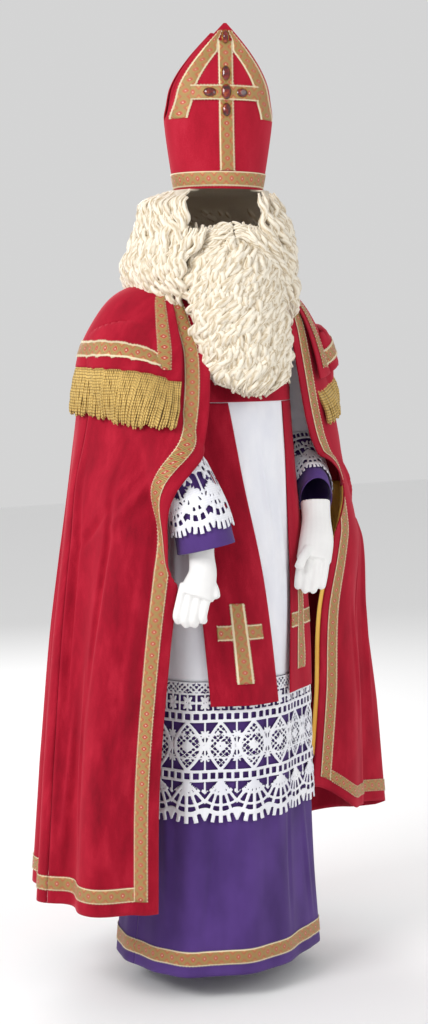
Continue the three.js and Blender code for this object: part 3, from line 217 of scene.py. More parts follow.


# Twisted yarn and curled hair: streaks run along the strand and wind round it, with painted shade in
# the grooves between them.
def strandFibre(name, dark, light, turnMm, streaks, rough, metallic, bumpMm):
    material, tree = newMaterial(name)
    place = addNode(tree, "ShaderNodeTexCoord").outputs["UV"]
    lay = addNode(tree, "ShaderNodeMapping", {"Vector": place, "Scale": (streaks, 1 / turnMm, 1),
                                              "Rotation": (0, 0, 0.0)})
    wound = addNode(tree, "ShaderNodeTexWave", {"Vector": lay.outputs[0], "Scale": 0.314, "Distortion": 1.4,
                                                "Detail": 2.0}, bands_direction="DIAGONAL")
    fibre = addNode(tree, "ShaderNodeTexNoise", {"Vector": lay.outputs[0], "Scale": 2.2, "Detail": 3.0})
    shade = addNode(tree, "ShaderNodeMath", {0: wound.outputs["Fac"], 1: 0.45, 2: fibre.outputs["Fac"]},
                    operation="MULTIPLY_ADD")
    # Painted shade: the colour is darkest in the grooves, where the relief is lowest.
    ramp = addNode(tree, "ShaderNodeValToRGB", {"Fac": shade.outputs[0]})
    colour = setStops(ramp, [(0.3, dark), (0.8, light)])
    raised = addNode(tree, "ShaderNodeBump", {"Height": shade.outputs[0], "Strength": 0.6,
                                              "Distance": bumpMm / 1000})
    shader = addNode(tree, "ShaderNodeBsdfPrincipled", {
        "Base Color": colour, "Roughness": rough, "Metallic": metallic, "Sheen Weight": 0.15,
        "Specular IOR Level": 0.35, "Normal": raised.outputs[0]})
    finished(tree, shader)
    return material


# Pressed glass: deep red with a painted amber glow in random patches, hard bright facets.
def glassStone(name):
    material, tree = newMaterial(name)
    place = addNode(tree, "ShaderNodeTexCoord").outputs["Object"]
    cloud = addNode(tree, "ShaderNodeTexNoise", {"Vector": place, "Scale": 90.0, "Detail": 2.0})
    ramp = addNode(tree, "ShaderNodeValToRGB", {"Fac": cloud.outputs["Fac"]})
    # Painted glow: the amber stop stands in for light shining through the stone.
    colour = setStops(ramp, [(0.35, "#3a0404"), (0.6, "#8c1208"), (0.75, "#c4661c")])
    shader = addNode(tree, "ShaderNodeBsdfPrincipled", {
        "Base Color": colour, "Roughness": 0.06, "IOR": 1.52, "Transmission Weight": 0.25, "Coat Weight": 0.6,
        "Coat Roughness": 0.03})
    finished(tree, shader)
    return material


# Stamped brass: warm, slightly worn gold.
def stampedBrass(name):
    material, tree = newMaterial(name)
    place = addNode(tree, "ShaderNodeTexCoord").outputs["Object"]
    wear = addNode(tree, "ShaderNodeTexNoise", {"Vector": place, "Scale": 220.0, "Detail": 3.0})
    ramp = addNode(tree, "ShaderNodeValToRGB", {"Fac": wear.outputs["Fac"]})
    colour = setStops(ramp, [(0.35, "#7d5a22"), (0.65, "#c79a4c")])
    shader = addNode(tree, "ShaderNodeBsdfPrincipled", {"Base Color": colour, "Roughness": 0.32,
                                                        "Metallic": 1.0})
    finished(tree, shader)
    return material


# Velveteen and felt: colour of the deep, level and lit pile, the lit one also a painted sheen at a slant,
# nap in mm, relief in mm, sheen. Woven cloth: darkest colour, for painted shade between the threads and the
# uneven dye, and lightest dye, thread in mm, roughness, sheen, relief in mm. Strands: darkest colour, for
# painted shade in the grooves of the twist, and lightest dye, mm for one turn, streaks round a strand,
# roughness, metallic, relief in mm.
materials = {
    "redVelveteen": velveteenCloth("redVelveteen", "#650013", "#970a24", "#ba2238", 2.2, 0.5, 0.2),
    "redFelt": velveteenCloth("redFelt", "#8a0a1e", "#a8152c", "#b92a3e", 3.2, 0.7, 0.12),
    "purpleCotton": wovenCloth("purpleCotton", "#3d2560", "#5a3c86", 2.2, 0.88, 0.12, 0.35),
    "whiteCotton": wovenCloth("whiteCotton", "#dcdee8", "#f7f7fa", 2.2, 0.88, 0.1, 0.25),
    "guipureThread": wovenCloth("guipureThread", "#dedfe9", "#fafafc", 2.6, 0.8, 0.15, 0.9),
    "yellowSatin": wovenCloth("yellowSatin", "#d69a34", "#f2c560", 2.0, 0.34, 0.05, 0.1),
    "gloveJersey": wovenCloth("gloveJersey", "#dfdedd", "#f6f5f3", 2.4, 0.85, 0.15, 0.3),
    "metallicBraid": braidCloth("metallicBraid"),
    "bullionYarn": strandFibre("bullionYarn", "#64481c", "#cfae64", 3.0, 1.0, 0.45, 0.35, 0.8),
    "curledFibre": strandFibre("curledFibre", "#b39a70", "#f1e8d6", 26.0, 7.0, 0.5, 0.0, 0.9),
    "pressedGlass": glassStone("pressedGlass"),
    "stampedBrass": stampedBrass("stampedBrass"),
}
print("materials made")


# Tables, grids and meshes
def columnsOf(names, rows):
    values = np.array(rows, dtype=float)
    return {name: values[:, k] for k, name in enumerate(names.split())}


# A smooth value of one column of a table, whose rows rise in the key column.
def tableValue(table, key, at, column):
    keys, values = table[key], table[column]
    at = np.clip(np.asarray(at, dtype=float), keys[0], keys[-1])
    i = np.clip(np.searchsorted(keys, at, side="left") - 1, 0, len(keys) - 2)
    slopes = np.empty(len(keys))
    slopes[1:-1] = (values[2:] - values[:-2]) / (keys[2:] - keys[:-2])
    slopes[0] = (values[1] - values[0]) / (keys[1] - keys[0])
    slopes[-1] = (values[-1] - values[-2]) / (keys[-1] - keys[-2])
    span = keys[i + 1] - keys[i]
    t = (at - keys[i]) / span
    rise = values[i + 1] - values[i]
    start, end = slopes[i] * span, slopes[i + 1] * span
    return values[i] + t * (start + t * (3 * rise - 2 * start - end + t * (start + end - 2 * rise)))


def bump(distance, width):
    t = np.abs(distance) / width
    return np.where(t >= 1, 0.0, (1 + np.cos(np.pi * np.minimum(t, 1))) / 2)


def smoothStep(x, low, high):
    t = np.clip((np.asarray(x, dtype=float) - low) / (high - low), 0, 1)
    return t * t * (3 - 2 * t)


def points(x, y, z):
    return np.stack(np.broadcast_arrays(np.asarray(x, float), y, z), axis=-1)


def unit(vectors):
    return vectors / np.maximum(np.linalg.norm(vectors, axis=-1, keepdims=True), 1e-9)


# Rows run down the cloth and columns run round it, so a grid's normals point outwards.
def normalsOf(grid, loops=False):
    if loops:
        wide = np.concatenate([grid[:, -2:-1], grid, grid[:, 1:2]], axis=1)
        across = wide[:, 2:] - wide[:, :-2]
    else:
        across = np.gradient(grid, axis=1)
    return unit(np.cross(across, np.gradient(grid, axis=0)))


def movedOut(grid, distance, loops=False):
    distance = np.asarray(distance, dtype=float)
    if distance.ndim:
        distance = distance[..., None]
    return grid + normalsOf(grid, loops) * distance


def mmUv(grid):
    across = np.linalg.norm(np.diff(grid, axis=1), axis=2)
    across = np.concatenate([np.zeros((len(grid), 1)), np.cumsum(across, axis=1)], axis=1)
    across -= across[:, -1:] / 2
    down = np.linalg.norm(np.diff(grid, axis=0), axis=2)
    down = np.concatenate([np.zeros((1, grid.shape[1])), np.cumsum(down, axis=0)], axis=0)
    return np.stack([across, np.broadcast_to(down.mean(axis=1, keepdims=True), across.shape)], axis=-1)


# One mesh from lists of vertices, faces and millimetre UVs.
def meshOf(name, vertices, faces, uv, material, smooth=True):
    mesh = bpy.data.meshes.new(name)
    mesh.from_pydata(((np.asarray(vertices) - neck) / 1000).tolist(), [], faces)
    layer = mesh.uv_layers.new(name="UVMap")
    loopVertices = np.empty(len(mesh.loops), dtype=np.int32)
    mesh.loops.foreach_get("vertex_index", loopVertices)
    layer.data.foreach_set("uv", np.asarray(uv, dtype=np.float32)[loopVertices].ravel())
    mesh.polygons.foreach_set("use_smooth", [smooth] * len(mesh.polygons))
    mesh.materials.append(materials[material])
    mesh.update()
    thing = bpy.data.objects.new(name, mesh)
    bpy.context.scene.collection.objects.link(thing)
    return thing


def gridFaces(rows, columns):
    i, j = np.meshgrid(np.arange(rows - 1), np.arange(columns - 1), indexing="ij")
    a = (i * columns + j).ravel()
    return np.stack([a, a + columns, a + columns + 1, a + 1], axis=1)


# A shell of cloth from its outer grid: both faces and the rim, with real thickness.
def shellParts(grid, thick, loops=False, isCloth=None, uv=None):
    rows, columns = grid.shape[:2]
    inner = movedOut(grid, -thick, loops)
    uv = mmUv(grid) if uv is None else uv
    count = rows * columns
    cells = gridFaces(rows, columns)
    keep = np.ones((rows - 1, columns - 1), bool) if isCloth is None else isCloth
    cells = cells[keep.ravel()]
    faces = [cells, cells[:, ::-1] + count]
    padded = np.pad(keep, 1)
    i, j = np.nonzero(keep)
    corner = i * columns + j
    sides = {(-1, 0): (0, 1), (1, 0): (columns + 1, columns),
             (0, -1): (columns, 0), (0, 1): (1, columns + 1)}
    for (di, dj), (a, b) in sides.items():
        atRim = ~padded[i + 1 + di, j + 1 + dj]
        first, second = corner[atRim] + a, corner[atRim] + b
        faces.append(np.stack([first, second, second + count, first + count], axis=1))
    vertices = np.concatenate([grid.reshape(-1, 3), inner.reshape(-1, 3)])
    return vertices, np.concatenate(faces), np.concatenate([uv.reshape(-1, 2)] * 2)


# Separate shells, strands or stitches as one mesh.
def partsMesh(name, parts, material):
    vertices, faces, uvs, start = [], [], [], 0
    for spots, cells, uv in parts:
        vertices.append(spots)
        faces.extend([int(k) + start for k in cell] for cell in cells)
        uvs.append(uv)
        start += len(spots)
    return meshOf(name, np.concatenate(vertices), faces, np.concatenate(uvs), material)


def settle(piece, slotName, *nodes):
    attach(piece, "root")
    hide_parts(*nodes)
    return piece


cutSizes = {}


# Declares a cut piece of cloth: its flat width and length are its longest row and column.
def declareCloth(piece, grid):
    width = np.linalg.norm(np.diff(grid, axis=1), axis=2).sum(axis=1).max() / 1000
    length = np.linalg.norm(np.diff(grid, axis=0), axis=2).sum(axis=0).max() / 1000
    area = clothArea(grid)
    cutSizes[piece.name] = (round(width, 3), round(length, 3), round(area, 4))


def clothArea(grid):
    across = grid[:-1, 1:] - grid[:-1, :-1]
    down = grid[1:, :-1] - grid[:-1, :-1]
    return float(np.linalg.norm(np.cross(across, down), axis=2).sum()) / 1e6


# The cassock and the rochet
gown = {
    "sections": columnsOf("z halfWidth front back centreY", [
        (55, 230, 194, 190, 0), (250, 212, 184, 180, 0), (480, 202, 178, 172, 2), (700, 196, 176, 166, 4),
        (900, 188, 168, 158, 6), (1080, 174, 150, 140, 10), (1260, 172, 140, 130, 18),
        (1380, 186, 126, 120, 28), (1450, 196, 108, 104, 34), (1494, 176, 88, 84, 34),
        (1522, 124, 76, 70, 28), (1545, 78, 72, 66, 22)]),
    "folds": [(12, 15, 7), (48, 16, 10), (84, 18, -9), (126, 20, 10), (162, 20, -8), (198, 20, 9),
              (234, 20, -9), (256, 16, 14), (286, 14, -4), (303, 13, 12), (330, 18, -10)],
    "creases": columnsOf("angle z width long depth lean", [
        (352, 560, 5, 330, 3.0, 3), (338, 300, 4, 240, -3.0, -2), (22, 420, 5, 280, 3.0, 2),
        (315, 250, 4, 200, 3.5, 4), (36, 240, 4, 190, -3.0, -4), (64, 300, 6, 260, 3.5, 3),
        (108, 420, 6, 330, -3.0, 2), (146, 300, 6, 260, 3.5, -3), (180, 500, 7, 420, 3.0, 2),
        (215, 300, 6, 260, -3.0, 3), (276, 320, 5, 260, 3.5, -2), (294, 200, 4, 150, -2.5, 2)]),
    "cassockHem": 55.0, "laceTop": 690.0, "hemBraidLift": 25.0,
    "gownCloth": 1.6, "rochetDrop": 5.0, "rochetSeat": 2.2,
}
rochetCreases = columnsOf("angle z width long depth lean", [
    (352, 1060, 3.2, 250, 2.6, 6), (340, 900, 3.0, 240, 3.2, -3), (8, 930, 3.4, 270, 2.8, 2),
    (20, 1120, 3.0, 180, 2.4, 4), (330, 1050, 3.4, 220, 2.4, -6), (358, 790, 2.6, 120, 2.2, 1),
    (314, 800, 4.0, 140, 2.6, 3), (34, 800, 4.0, 150, 3.0, -3), (60, 980, 5.0, 300, 2.6, 2),
    (110, 1000, 6.0, 330, 2.8, 3), (150, 940, 6.0, 320, 3.0, -3), (200, 1000, 6.0, 320, 2.8, 2),
    (250, 980, 6.0, 300, 3.0, -2)])


def turnFrom(angle, centre):
    return (np.asarray(angle, float) - centre + 540) % 360 - 180


def creaseDepth(creases, angle, z):
    total = 0.0
    for k in range(len(creases["angle"])):
        along = (np.asarray(z, float) - creases["z"][k]) / creases["long"][k]
        side = turnFrom(angle, creases["angle"][k] + creases["lean"][k] * along)
        total = total + 1.5 * creases["depth"][k] * bump(side, creases["width"][k]) * bump(along, 1.0)
    return total


def gownPoint(angle, z, out=0.0):
    section = lambda column: tableValue(gown["sections"], "z", z, column)
    turn = np.radians(angle)
    depth = np.where(np.cos(turn) > 0, section("front"), section("back"))
    hang = np.clip((1300 - np.asarray(z, float)) / 900, 0, 1)
    grown = sum(d * bump(turnFrom(angle, a), w) for a, w, d in gown["folds"]) * hang + out
    return points(-(section("halfWidth") + grown) * np.sin(turn),
                  section("centreY") - (depth + grown) * np.cos(turn), z)


def gownGrid(angles, heights, creases=None, out=0.0):
    angle, z = np.meshgrid(angles, heights)
    grid = gownPoint(angle, z)
    push = out(z) if callable(out) else out
    if creases is not None:
        push = push + creaseDepth(creases, angle, z)
    return movedOut(grid, push + 0 * z)


def rochetOut(z):
    return gown["rochetSeat"] + (gown["rochetDrop"] - gown["rochetSeat"]) * (1 - smoothStep(z, 1385, 1450))


seamGap = 0.08  # degrees that each panel of a gown stays short of its side seam
halves = {"front": np.linspace(-90 + seamGap, 90 - seamGap, 150),
          "back": np.linspace(90 + seamGap, 270 - seamGap, 130)}
cassockHeights = np.concatenate([np.linspace(1545, 720, 30)[:-1], np.linspace(720, gown["cassockHem"], 90)])
rochetHeights = np.linspace(1545, gown["laceTop"], 110)
for half, angles in halves.items():
    cassock = gownGrid(angles, cassockHeights, gown["creases"])
    piece = partsMesh("cassock" + half.title(), [shellParts(cassock, gown["gownCloth"])], "purpleCotton")
    settle(piece, "purple_cotton", "cassock_" + half)
    declareCloth(piece, cassock)
    rochet = gownGrid(angles, rochetHeights, rochetCreases, rochetOut)
    piece = partsMesh("rochet" + half.title(), [shellParts(rochet, gown["gownCloth"])], "whiteCotton")
    settle(piece, "white_cotton", "rochet_" + half)
    declareCloth(piece, rochet)
print("gowns made")

# Braid
braid = {"width": 30.0, "cloth": 1.4, "lift": 0.4, "picotEvery": 7.0, "picotSize": 1.9}


# A strip of braid from a grid whose rows run along it and columns across it. Picots stand on the edges
# that are asked for.
def braidParts(grid, picots=(True, True)):
    along = np.linalg.norm(np.diff(grid, axis=0), axis=2).mean(axis=1)
    along = np.concatenate([[0], np.cumsum(along)])
    across = np.linalg.norm(np.diff(grid, axis=1), axis=2).mean(axis=0)
    across = np.concatenate([[0], np.cumsum(across)])
    across -= across[-1] / 2
    uv = np.stack(np.meshgrid(along, across, indexing="ij"), axis=-1)
    parts = [shellParts(grid, braid["cloth"], uv=uv)]
    normals = normalsOf(grid)
    for column, wanted in zip((0, -1), picots):
        if not wanted:
            continue
        edge = unit(grid[:, column] - grid[:, 1 if column == 0 else -2])
        for distance in np.arange(braid["picotEvery"] / 2, along[-1], braid["picotEvery"]):
            i = min(int(np.searchsorted(along, distance)), len(along) - 1)
            t = (distance - along[i - 1]) / max(along[i] - along[i - 1], 1e-6)
            spot = grid[i - 1, column] * (1 - t) + grid[i, column] * t
            run = unit(grid[i, column] - grid[i - 1, column])
            size = braid["picotSize"]
            loop = [spot - run * size, spot + edge[i] * size * 1.25, spot + run * size,
                    spot - edge[i] * 0.5, spot + normals[i, column] * 0.9 + edge[i] * 0.4,
                    spot - normals[i, column] * 1.0 + edge[i] * 0.4]
            faces = [(0, 1, 4), (1, 2, 4), (2, 3, 4), (3, 0, 4), (1, 0, 5), (2, 1, 5), (3, 2, 5), (0, 3, 5)]
            rimUv = np.zeros((6, 2))
            rimUv[:, 1] = braid["width"] / 2
            parts.append((np.array(loop), np.array(faces), rimUv))
    return parts


def sewBraid(name, grids, nodes, picots=(True, True)):
    parts = [part for grid in grids for part in braidParts(grid, picots)]
    piece = partsMesh(name, parts, "metallicBraid")
    settle(piece, "woven_braid", *nodes)
    area = sum(clothArea(grid) for grid in grids)
    width = braid["width"] / 1000
    length = area / width
    cutSizes[name] = (round(width, 3), round(length, 3), round(width * length, 4))


hemLow = gown["cassockHem"] + gown["hemBraidLift"]
for half, angles in halves.items():
    heights = np.linspace(hemLow + braid["width"], hemLow, 7)
    strip = gownGrid(np.linspace(angles[0], angles[-1], 180), heights, gown["creases"],
                     braid["lift"] + braid["cloth"])
    sewBraid("cassockHemBraid" + half.title(), [np.swapaxes(strip, 0, 1)[:, ::-1]],
             ["cassock_hem_braid_" + half])
print("braid sewn on the cassock")

# Sleeves
sleeves = {
    "paths": {
        "right": columnsOf("x y z wide deep", [
            (-150, 32, 1440, 56, 56), (-196, 30, 1400, 60, 60), (-224, -10, 1330, 56, 56),
            (-218, -62, 1250, 52, 52), (-200, -112, 1178, 50, 52), (-188, -150, 1114, 53, 54),
            (-174, -180, 1048, 57, 57), (-164, -192, 982, 61, 60)]),
        "left": columnsOf("x y z wide deep", [
            (150, 32, 1440, 56, 56), (198, 32, 1400, 60, 60), (236, 32, 1330, 54, 55),
            (244, 32, 1250, 46, 50), (244, 24, 1180, 42, 50), (230, -14, 1124, 38, 54),
            (210, -62, 1088, 35, 58), (187, -108, 1056, 36, 60)])},
    "laceStart": 4 / 7, "laceEnd": 0.93, "rochetOut": 5.0, "laceClear": 2.4,
}
acrossView = np.array([0.82, -0.57, 0.0])


# A place on the smooth curve through a sleeve's path, at a share of it.
def curvePoint(path, share):
    nodes = np.stack([path["x"], path["y"], path["z"]], axis=1)
    last = len(nodes) - 1
    place = min(max(share, 0.0), 1.0) * last
    i = min(int(place), last - 1)
    w = place - i
    p1, p2 = nodes[i], nodes[i + 1]
    p0 = nodes[i - 1] if i > 0 else 2 * nodes[0] - nodes[1]
    p3 = nodes[i + 2] if i + 2 <= last else 2 * nodes[last] - nodes[last - 1]
    d0, d1, d2 = (math.sqrt(np.linalg.norm(b - a)) for a, b in ((p0, p1), (p1, p2), (p2, p3)))
    t1 = ((p1 - p0) / d0 - (p2 - p0) / (d0 + d1) + (p2 - p1) / d1) * d1
    t2 = ((p2 - p1) / d1 - (p3 - p1) / (d1 + d2) + (p3 - p2) / d2) * d1
    return p1 + w * (t1 + w * (-3 * p1 + 3 * p2 - 2 * t1 - t2 + w * (2 * p1 - 2 * p2 + t1 + t2)))


def sleeveAt(side, share):
    path = sleeves["paths"][side]
    keys = np.linspace(0, 1, len(path["x"]))
    along = unit(curvePoint(path, share + 0.002) - curvePoint(path, share - 0.002))
    first = unit(acrossView - acrossView.dot(along) * along)
    return {"centre": curvePoint(path, share), "along": along, "first": first,
            "second": np.cross(along, first), "wide": np.interp(share, keys, path["wide"]),
            "deep": np.interp(share, keys, path["deep"])}


def onTube(place, angle, out=0.0):
    turn = np.radians(angle)[..., None]
    out = np.asarray(out, float)
    out = out[..., None] if out.ndim else out
    return (place["centre"] + place["first"] * np.cos(turn) * (place["wide"] + out)
            + place["second"] * np.sin(turn) * (place["deep"] + out))


# Crumples of a sleeve: share along it, degrees round it, spread of each, depth in mm.
sleeveCreases = [(0.50, 200, 0.030, 70, 4), (0.56, 250, 0.028, 60, -4), (0.62, 180, 0.03, 80, 4),
                 (0.68, 300, 0.03, 60, -3), (0.74, 220, 0.03, 90, 4), (0.86, 160, 0.05, 40, 5),
                 (0.9, 250, 0.06, 35, -5), (0.9, 330, 0.06, 40, 5), (0.94, 60, 0.05, 50, 4),
                 (0.44, 120, 0.03, 70, 3), (0.8, 30, 0.05, 40, -4)]


def sleeveGrid(side, start, end, rows, columns, out):
    angles = np.linspace(0, 360, columns)
    grid = []
    for share in np.linspace(start, end, rows):
        ease = smoothStep(share, 0.3, 0.45)
        push = sum(d * bump(share - s, w) * bump(turnFrom(angles, a), g) for s, a, w, g, d in sleeveCreases)
        grid.append(onTube(sleeveAt(side, share), angles, out + push * ease))
    return np.array(grid)


for side in ("right", "left"):
    cassock = sleeveGrid(side, 0.1, 1.0, 110, 72, 0.0)
    piece = partsMesh("cassockSleeve" + side.title(), [shellParts(cassock, 1.6, loops=True)], "purpleCotton")
    settle(piece, "purple_cotton", "cassock_sleeve_" + side)
    declareCloth(piece, cassock)
    rochet = sleeveGrid(side, 0.12, sleeves["laceStart"], 70, 72, sleeves["rochetOut"])
    piece = partsMesh("rochetSleeve" + side.title(), [shellParts(rochet, 1.6, loops=True)], "whiteCotton")
    settle(piece, "white_cotton", "rochet_sleeve_" + side)
    declareCloth(piece, rochet)
print("sleeves made")

# The cope
cope = {
    "sections": columnsOf("down z lift right left frontR frontL back y edgeR edgeL", [
        (0, 1549, 0, 83, 83, 77, 77, 71, 22, 44, 44),
        (0.02, 1532, 0, 144, 142, 92, 92, 84, 28, 36, 38),
        (0.05, 1502, 0, 224, 218, 112, 110, 104, 36, 30, 33),
        (0.09, 1450, 0, 268, 258, 144, 138, 132, 38, 25, 30),
        (0.15, 1370, 0, 304, 288, 177, 156, 158, 34, 22, 27),
        (0.27, 1200, 0, 330, 328, 256, 168, 196, 24, 31, 29),
        (0.34, 1104, 2, 341, 350, 262, 176, 214, 24, 38, 38),
        (0.42, 995, 6, 351, 384, 268, 182, 234, 24, 38, 37),
        (0.47, 930, 14, 358, 402, 258, 182, 242, 25, 38, 33),
        (0.6, 760, 40, 374, 408, 232, 172, 262, 26, 38, 28),
        (0.8, 490, 80, 388, 446, 228, 146, 290, 28, 40, 27.3),
        (1, 215, 110, 406, 480, 230, 122, 308, 30, 39, 25.2)]),
    "folds": [(-0.97, 0.05, 10, 0.25), (-0.84, 0.12, 26, 0.18), (-0.69, 0.1, -24, 0.15),
              (-0.59, 0.07, 20, 0.2), (-0.5, 0.07, -14, 0.2), (-0.4, 0.08, 20, 0.16),
              (-0.26, 0.09, -20, 0.3), (-0.13, 0.09, 18, 0.2), (0.02, 0.1, -18, 0.3),
              (0.16, 0.1, 22, 0.18), (0.3, 0.09, -20, 0.25), (0.42, 0.08, 18, 0.2),
              (0.53, 0.07, -16, 0.22), (0.64, 0.08, 20, 0.18), (0.76, 0.07, -22, 0.25),
              (0.9, 0.08, 14, 0.3)],
    "creases": [(-0.9, 0.62, 0.022, 0.3, 3.5, 0.01), (-0.78, 0.5, 0.02, 0.25, -4.0, 0.02),
                (-0.74, 0.78, 0.018, 0.2, 3.5, -0.01), (-0.64, 0.55, 0.016, 0.3, -4.0, 0.01),
                (-0.66, 0.82, 0.02, 0.18, 3.5, 0.02), (-0.545, 0.6, 0.015, 0.35, 4.0, -0.01),
                (-0.45, 0.48, 0.018, 0.22, -3.5, 0.015), (-0.47, 0.8, 0.016, 0.2, -3.5, 0.0),
                (-0.33, 0.62, 0.02, 0.3, 3.5, -0.01), (-0.2, 0.5, 0.02, 0.25, -3.5, 0.01),
                (-0.05, 0.7, 0.02, 0.28, 3.5, 0.0), (0.09, 0.5, 0.02, 0.3, -3.5, 0.01),
                (0.22, 0.75, 0.02, 0.22, 3.5, -0.01), (0.36, 0.55, 0.018, 0.3, -4.0, 0.01),
                (0.47, 0.7, 0.016, 0.28, 3.5, 0.0), (0.58, 0.5, 0.016, 0.25, -4.0, 0.015),
                (0.6, 0.8, 0.015, 0.18, 3.0, -0.01), (0.7, 0.62, 0.016, 0.3, 4.0, 0.01),
                (0.82, 0.5, 0.018, 0.2, -3.5, 0.02), (0.86, 0.72, 0.016, 0.2, 3.0, -0.02),
                (-0.86, 0.36, 0.03, 0.06, 4.0, 0.09), (-0.72, 0.4, 0.03, 0.05, -3.5, 0.1),
                (0.8, 0.36, 0.03, 0.06, 4.0, -0.08), (0.68, 0.42, 0.03, 0.05, -3.5, -0.1)],
    "cloth": 2.2, "cornerLift": 75.0, "margin": 24.0, "length": 1330.0, "hemMargin": 28.0,
    "armReach": 31.0,
}
armPlaces = [dict(sleeveAt(side, share), clear=1.0)
             for side in ("right", "left") for share in np.linspace(0.2, 1, 41)]
for side in ("right", "left"):  # below each cuff the cope falls back to its own line
    cuff = sleeveAt(side, 1.0)
    for step in range(1, 15):
        ease = 1 - smoothStep(step / 15, 0, 1)
        armPlaces.append(dict(cuff, centre=cuff["centre"] + cuff["along"] * 14 * step,
                              wide=cuff["wide"] * ease, deep=cuff["deep"] * ease, clear=ease))


# The cope drapes over the sleeves: a point inside a sleeve's reach moves out to it.
def overArms(spots, out):
    shape = spots.shape
    spots = spots.reshape(-1, 3).copy()
    reachOut = cope["armReach"] + np.broadcast_to(out, shape[:-1]).ravel()
    for place in armPlaces:
        clear = reachOut * place["clear"]
        away = spots - place["centre"]
        a, b = away @ place["first"], away @ place["second"]
        reach = np.hypot(a / (place["wide"] + clear), b / (place["deep"] + clear))
        hit = (np.abs(away @ place["along"]) <= 16) & (reach < 1) & (reach >= 0.3)
        push = (1 / reach[hit] - 1)[:, None]
        spots[hit] += place["first"] * a[hit][:, None] * push + place["second"] * b[hit][:, None] * push
    return spots.reshape(shape)


def hangingPoint(across, down, out=0.0):
    across, down = np.broadcast_arrays(np.asarray(across, float), np.asarray(down, float))
    section = lambda column: tableValue(cope["sections"], "down", down, column)
    right = across < 0
    turn = np.radians(180 + across * (180 - np.where(right, section("edgeR"), section("edgeL"))))
    front = np.where(right, section("frontR"), section("frontL"))
    depth = np.where(np.cos(turn) > 0, front, section("back"))
    half = np.where(right, section("right"), section("left"))
    folds = out + 0 * down
    for at, spread, deep, start in cope["folds"]:
        folds = folds + deep * np.clip((down - start) / (0.8 - start), 0, 1) * bump(across - at, spread)
    for at, level, spread, long, deep, lean in cope["creases"]:
        along = (down - level) / long
        folds = folds + 2.4 * deep * bump(across - at - lean * along, spread) * bump(along, 1.0)
    corner = smoothStep(across, 0.86, 1) * smoothStep(down, 0.5, 1)
    z = section("z") + section("lift") * smoothStep(across, 0.1, 0.85) + cope["cornerLift"] * corner
    return points(-(half + folds) * np.sin(turn), section("y") - (depth + folds) * np.cos(turn), z)


def copePoint(across, down, out=0.0):
    return overArms(hangingPoint(across, down, out), out)


def perUnit(edge, down):
    down = np.asarray(down, float)
    step = hangingPoint(edge, down) - hangingPoint(edge * 0.96, down)
    return np.linalg.norm(step, axis=-1) / 0.04


# Places across the cope at real distances from one front edge.
def fromEdge(side, distance, down):
    edge = -1.0 if side == "right" else 1.0
    return edge - edge * np.asarray(distance)[None, :] / perUnit(edge, down)[:, None]


downRows = np.concatenate([np.linspace(0, 0.09, 14)[:-1], np.linspace(0.09, 1, 130)])


def copeGridOf(across, rows, out=0.0):
    across = np.asarray(across, float)
    level = np.broadcast_to(np.asarray(rows)[:, None], (len(rows), across.shape[-1]))
    return copePoint(np.broadcast_to(across, level.shape), level, out)


seamAt = 0.62  # where the panels' side seams run, as a share across
seamShare = 0.001  # the gap at a seam, as a share across
copePanels = {
    "Right": ("cope_front_right", np.linspace(-1, -seamAt, 62)),
    "Back": ("cope_back", np.linspace(-seamAt + seamShare, seamAt - seamShare, 170)),
    "Left": ("cope_front_left", np.linspace(seamAt, 1, 62)),
}
for label, (node, across) in copePanels.items():
    grid = copeGridOf(across, downRows)
    piece = partsMesh("cope" + label, [shellParts(grid, cope["cloth"])], "redVelveteen")
    settle(piece, "red_velveteen", node)
    declareCloth(piece, grid)

liningRows = np.linspace(0.36, 1 - 54 / cope["length"], 80)
liningShows = smoothStep(liningRows, 0.42, 0.47) * (1 - smoothStep(liningRows, 0.92, 0.95))
liningEdge = 1 - (8 - 21 * liningShows) / perUnit(1.0, liningRows)  # it rolls past the edge where it shows
liningAcross = 0.5 + (liningEdge[:, None] - 0.5) * np.linspace(0, 1, 80)
lining = movedOut(copeGridOf(liningAcross, liningRows), -cope["cloth"] - 0.4)
piece = partsMesh("copeLining", [shellParts(lining, 1.0)], "yellowSatin")
settle(piece, "yellow_satin", "cope_lining")
declareCloth(piece, lining)
print("cope made")

# Braid down both front edges and along the hem.
onCloth = braid["lift"] + braid["cloth"]
edgeRows = np.linspace(0.004, 1 - cope["hemMargin"] / cope["length"], 150)
distances = np.linspace(cope["margin"], cope["margin"] + braid["width"], 7)
for side in ("right", "left"):
    across = fromEdge(side, distances if side == "right" else distances[::-1], edgeRows)
    strip = movedOut(copePoint(across, edgeRows[:, None] + 0 * across), onCloth)
    sewBraid("copeBraid" + side.title(), [strip], ["cope_braid_" + side])
hemRows = 1 - np.linspace(cope["hemMargin"] + braid["width"] - 2, cope["hemMargin"], 7) / cope["length"]
hemEdge = (cope["margin"] + braid["width"]) / float(perUnit(-1.0, 0.97))
hemSpans = {"Right": (-1 + hemEdge, -seamAt), "Back": (-seamAt + seamShare, seamAt - seamShare),
            "Left": (seamAt, 1 - (cope["margin"] + braid["width"]) / float(perUnit(1.0, 0.97)))}
for label, (start, end) in hemSpans.items():
    strip = movedOut(copeGridOf(np.linspace(start, end, 150), hemRows), onCloth)
    sewBraid("copeHemBraid" + label, [np.swapaxes(strip, 0, 1)[:, ::-1]],
             ["cope_hem_braid_" + label.lower()])
print("braid sewn on the cope")

# The shoulder cape and its fringe
cape = {"down": 0.166, "frontDrop": 0.022, "flare": 8.0, "cloth": 2.2, "setback": 62.0, "margin": 25.0,
        "hemMargin": 20.0, "fringe": 88.0, "strandEvery": 4.4, "strandRadius": 2.3, "fringeOut": 15.0}


def capeHem(across):
    return cape["down"] + cape["frontDrop"] * smoothStep(np.abs(across), 0.6, 0.95)


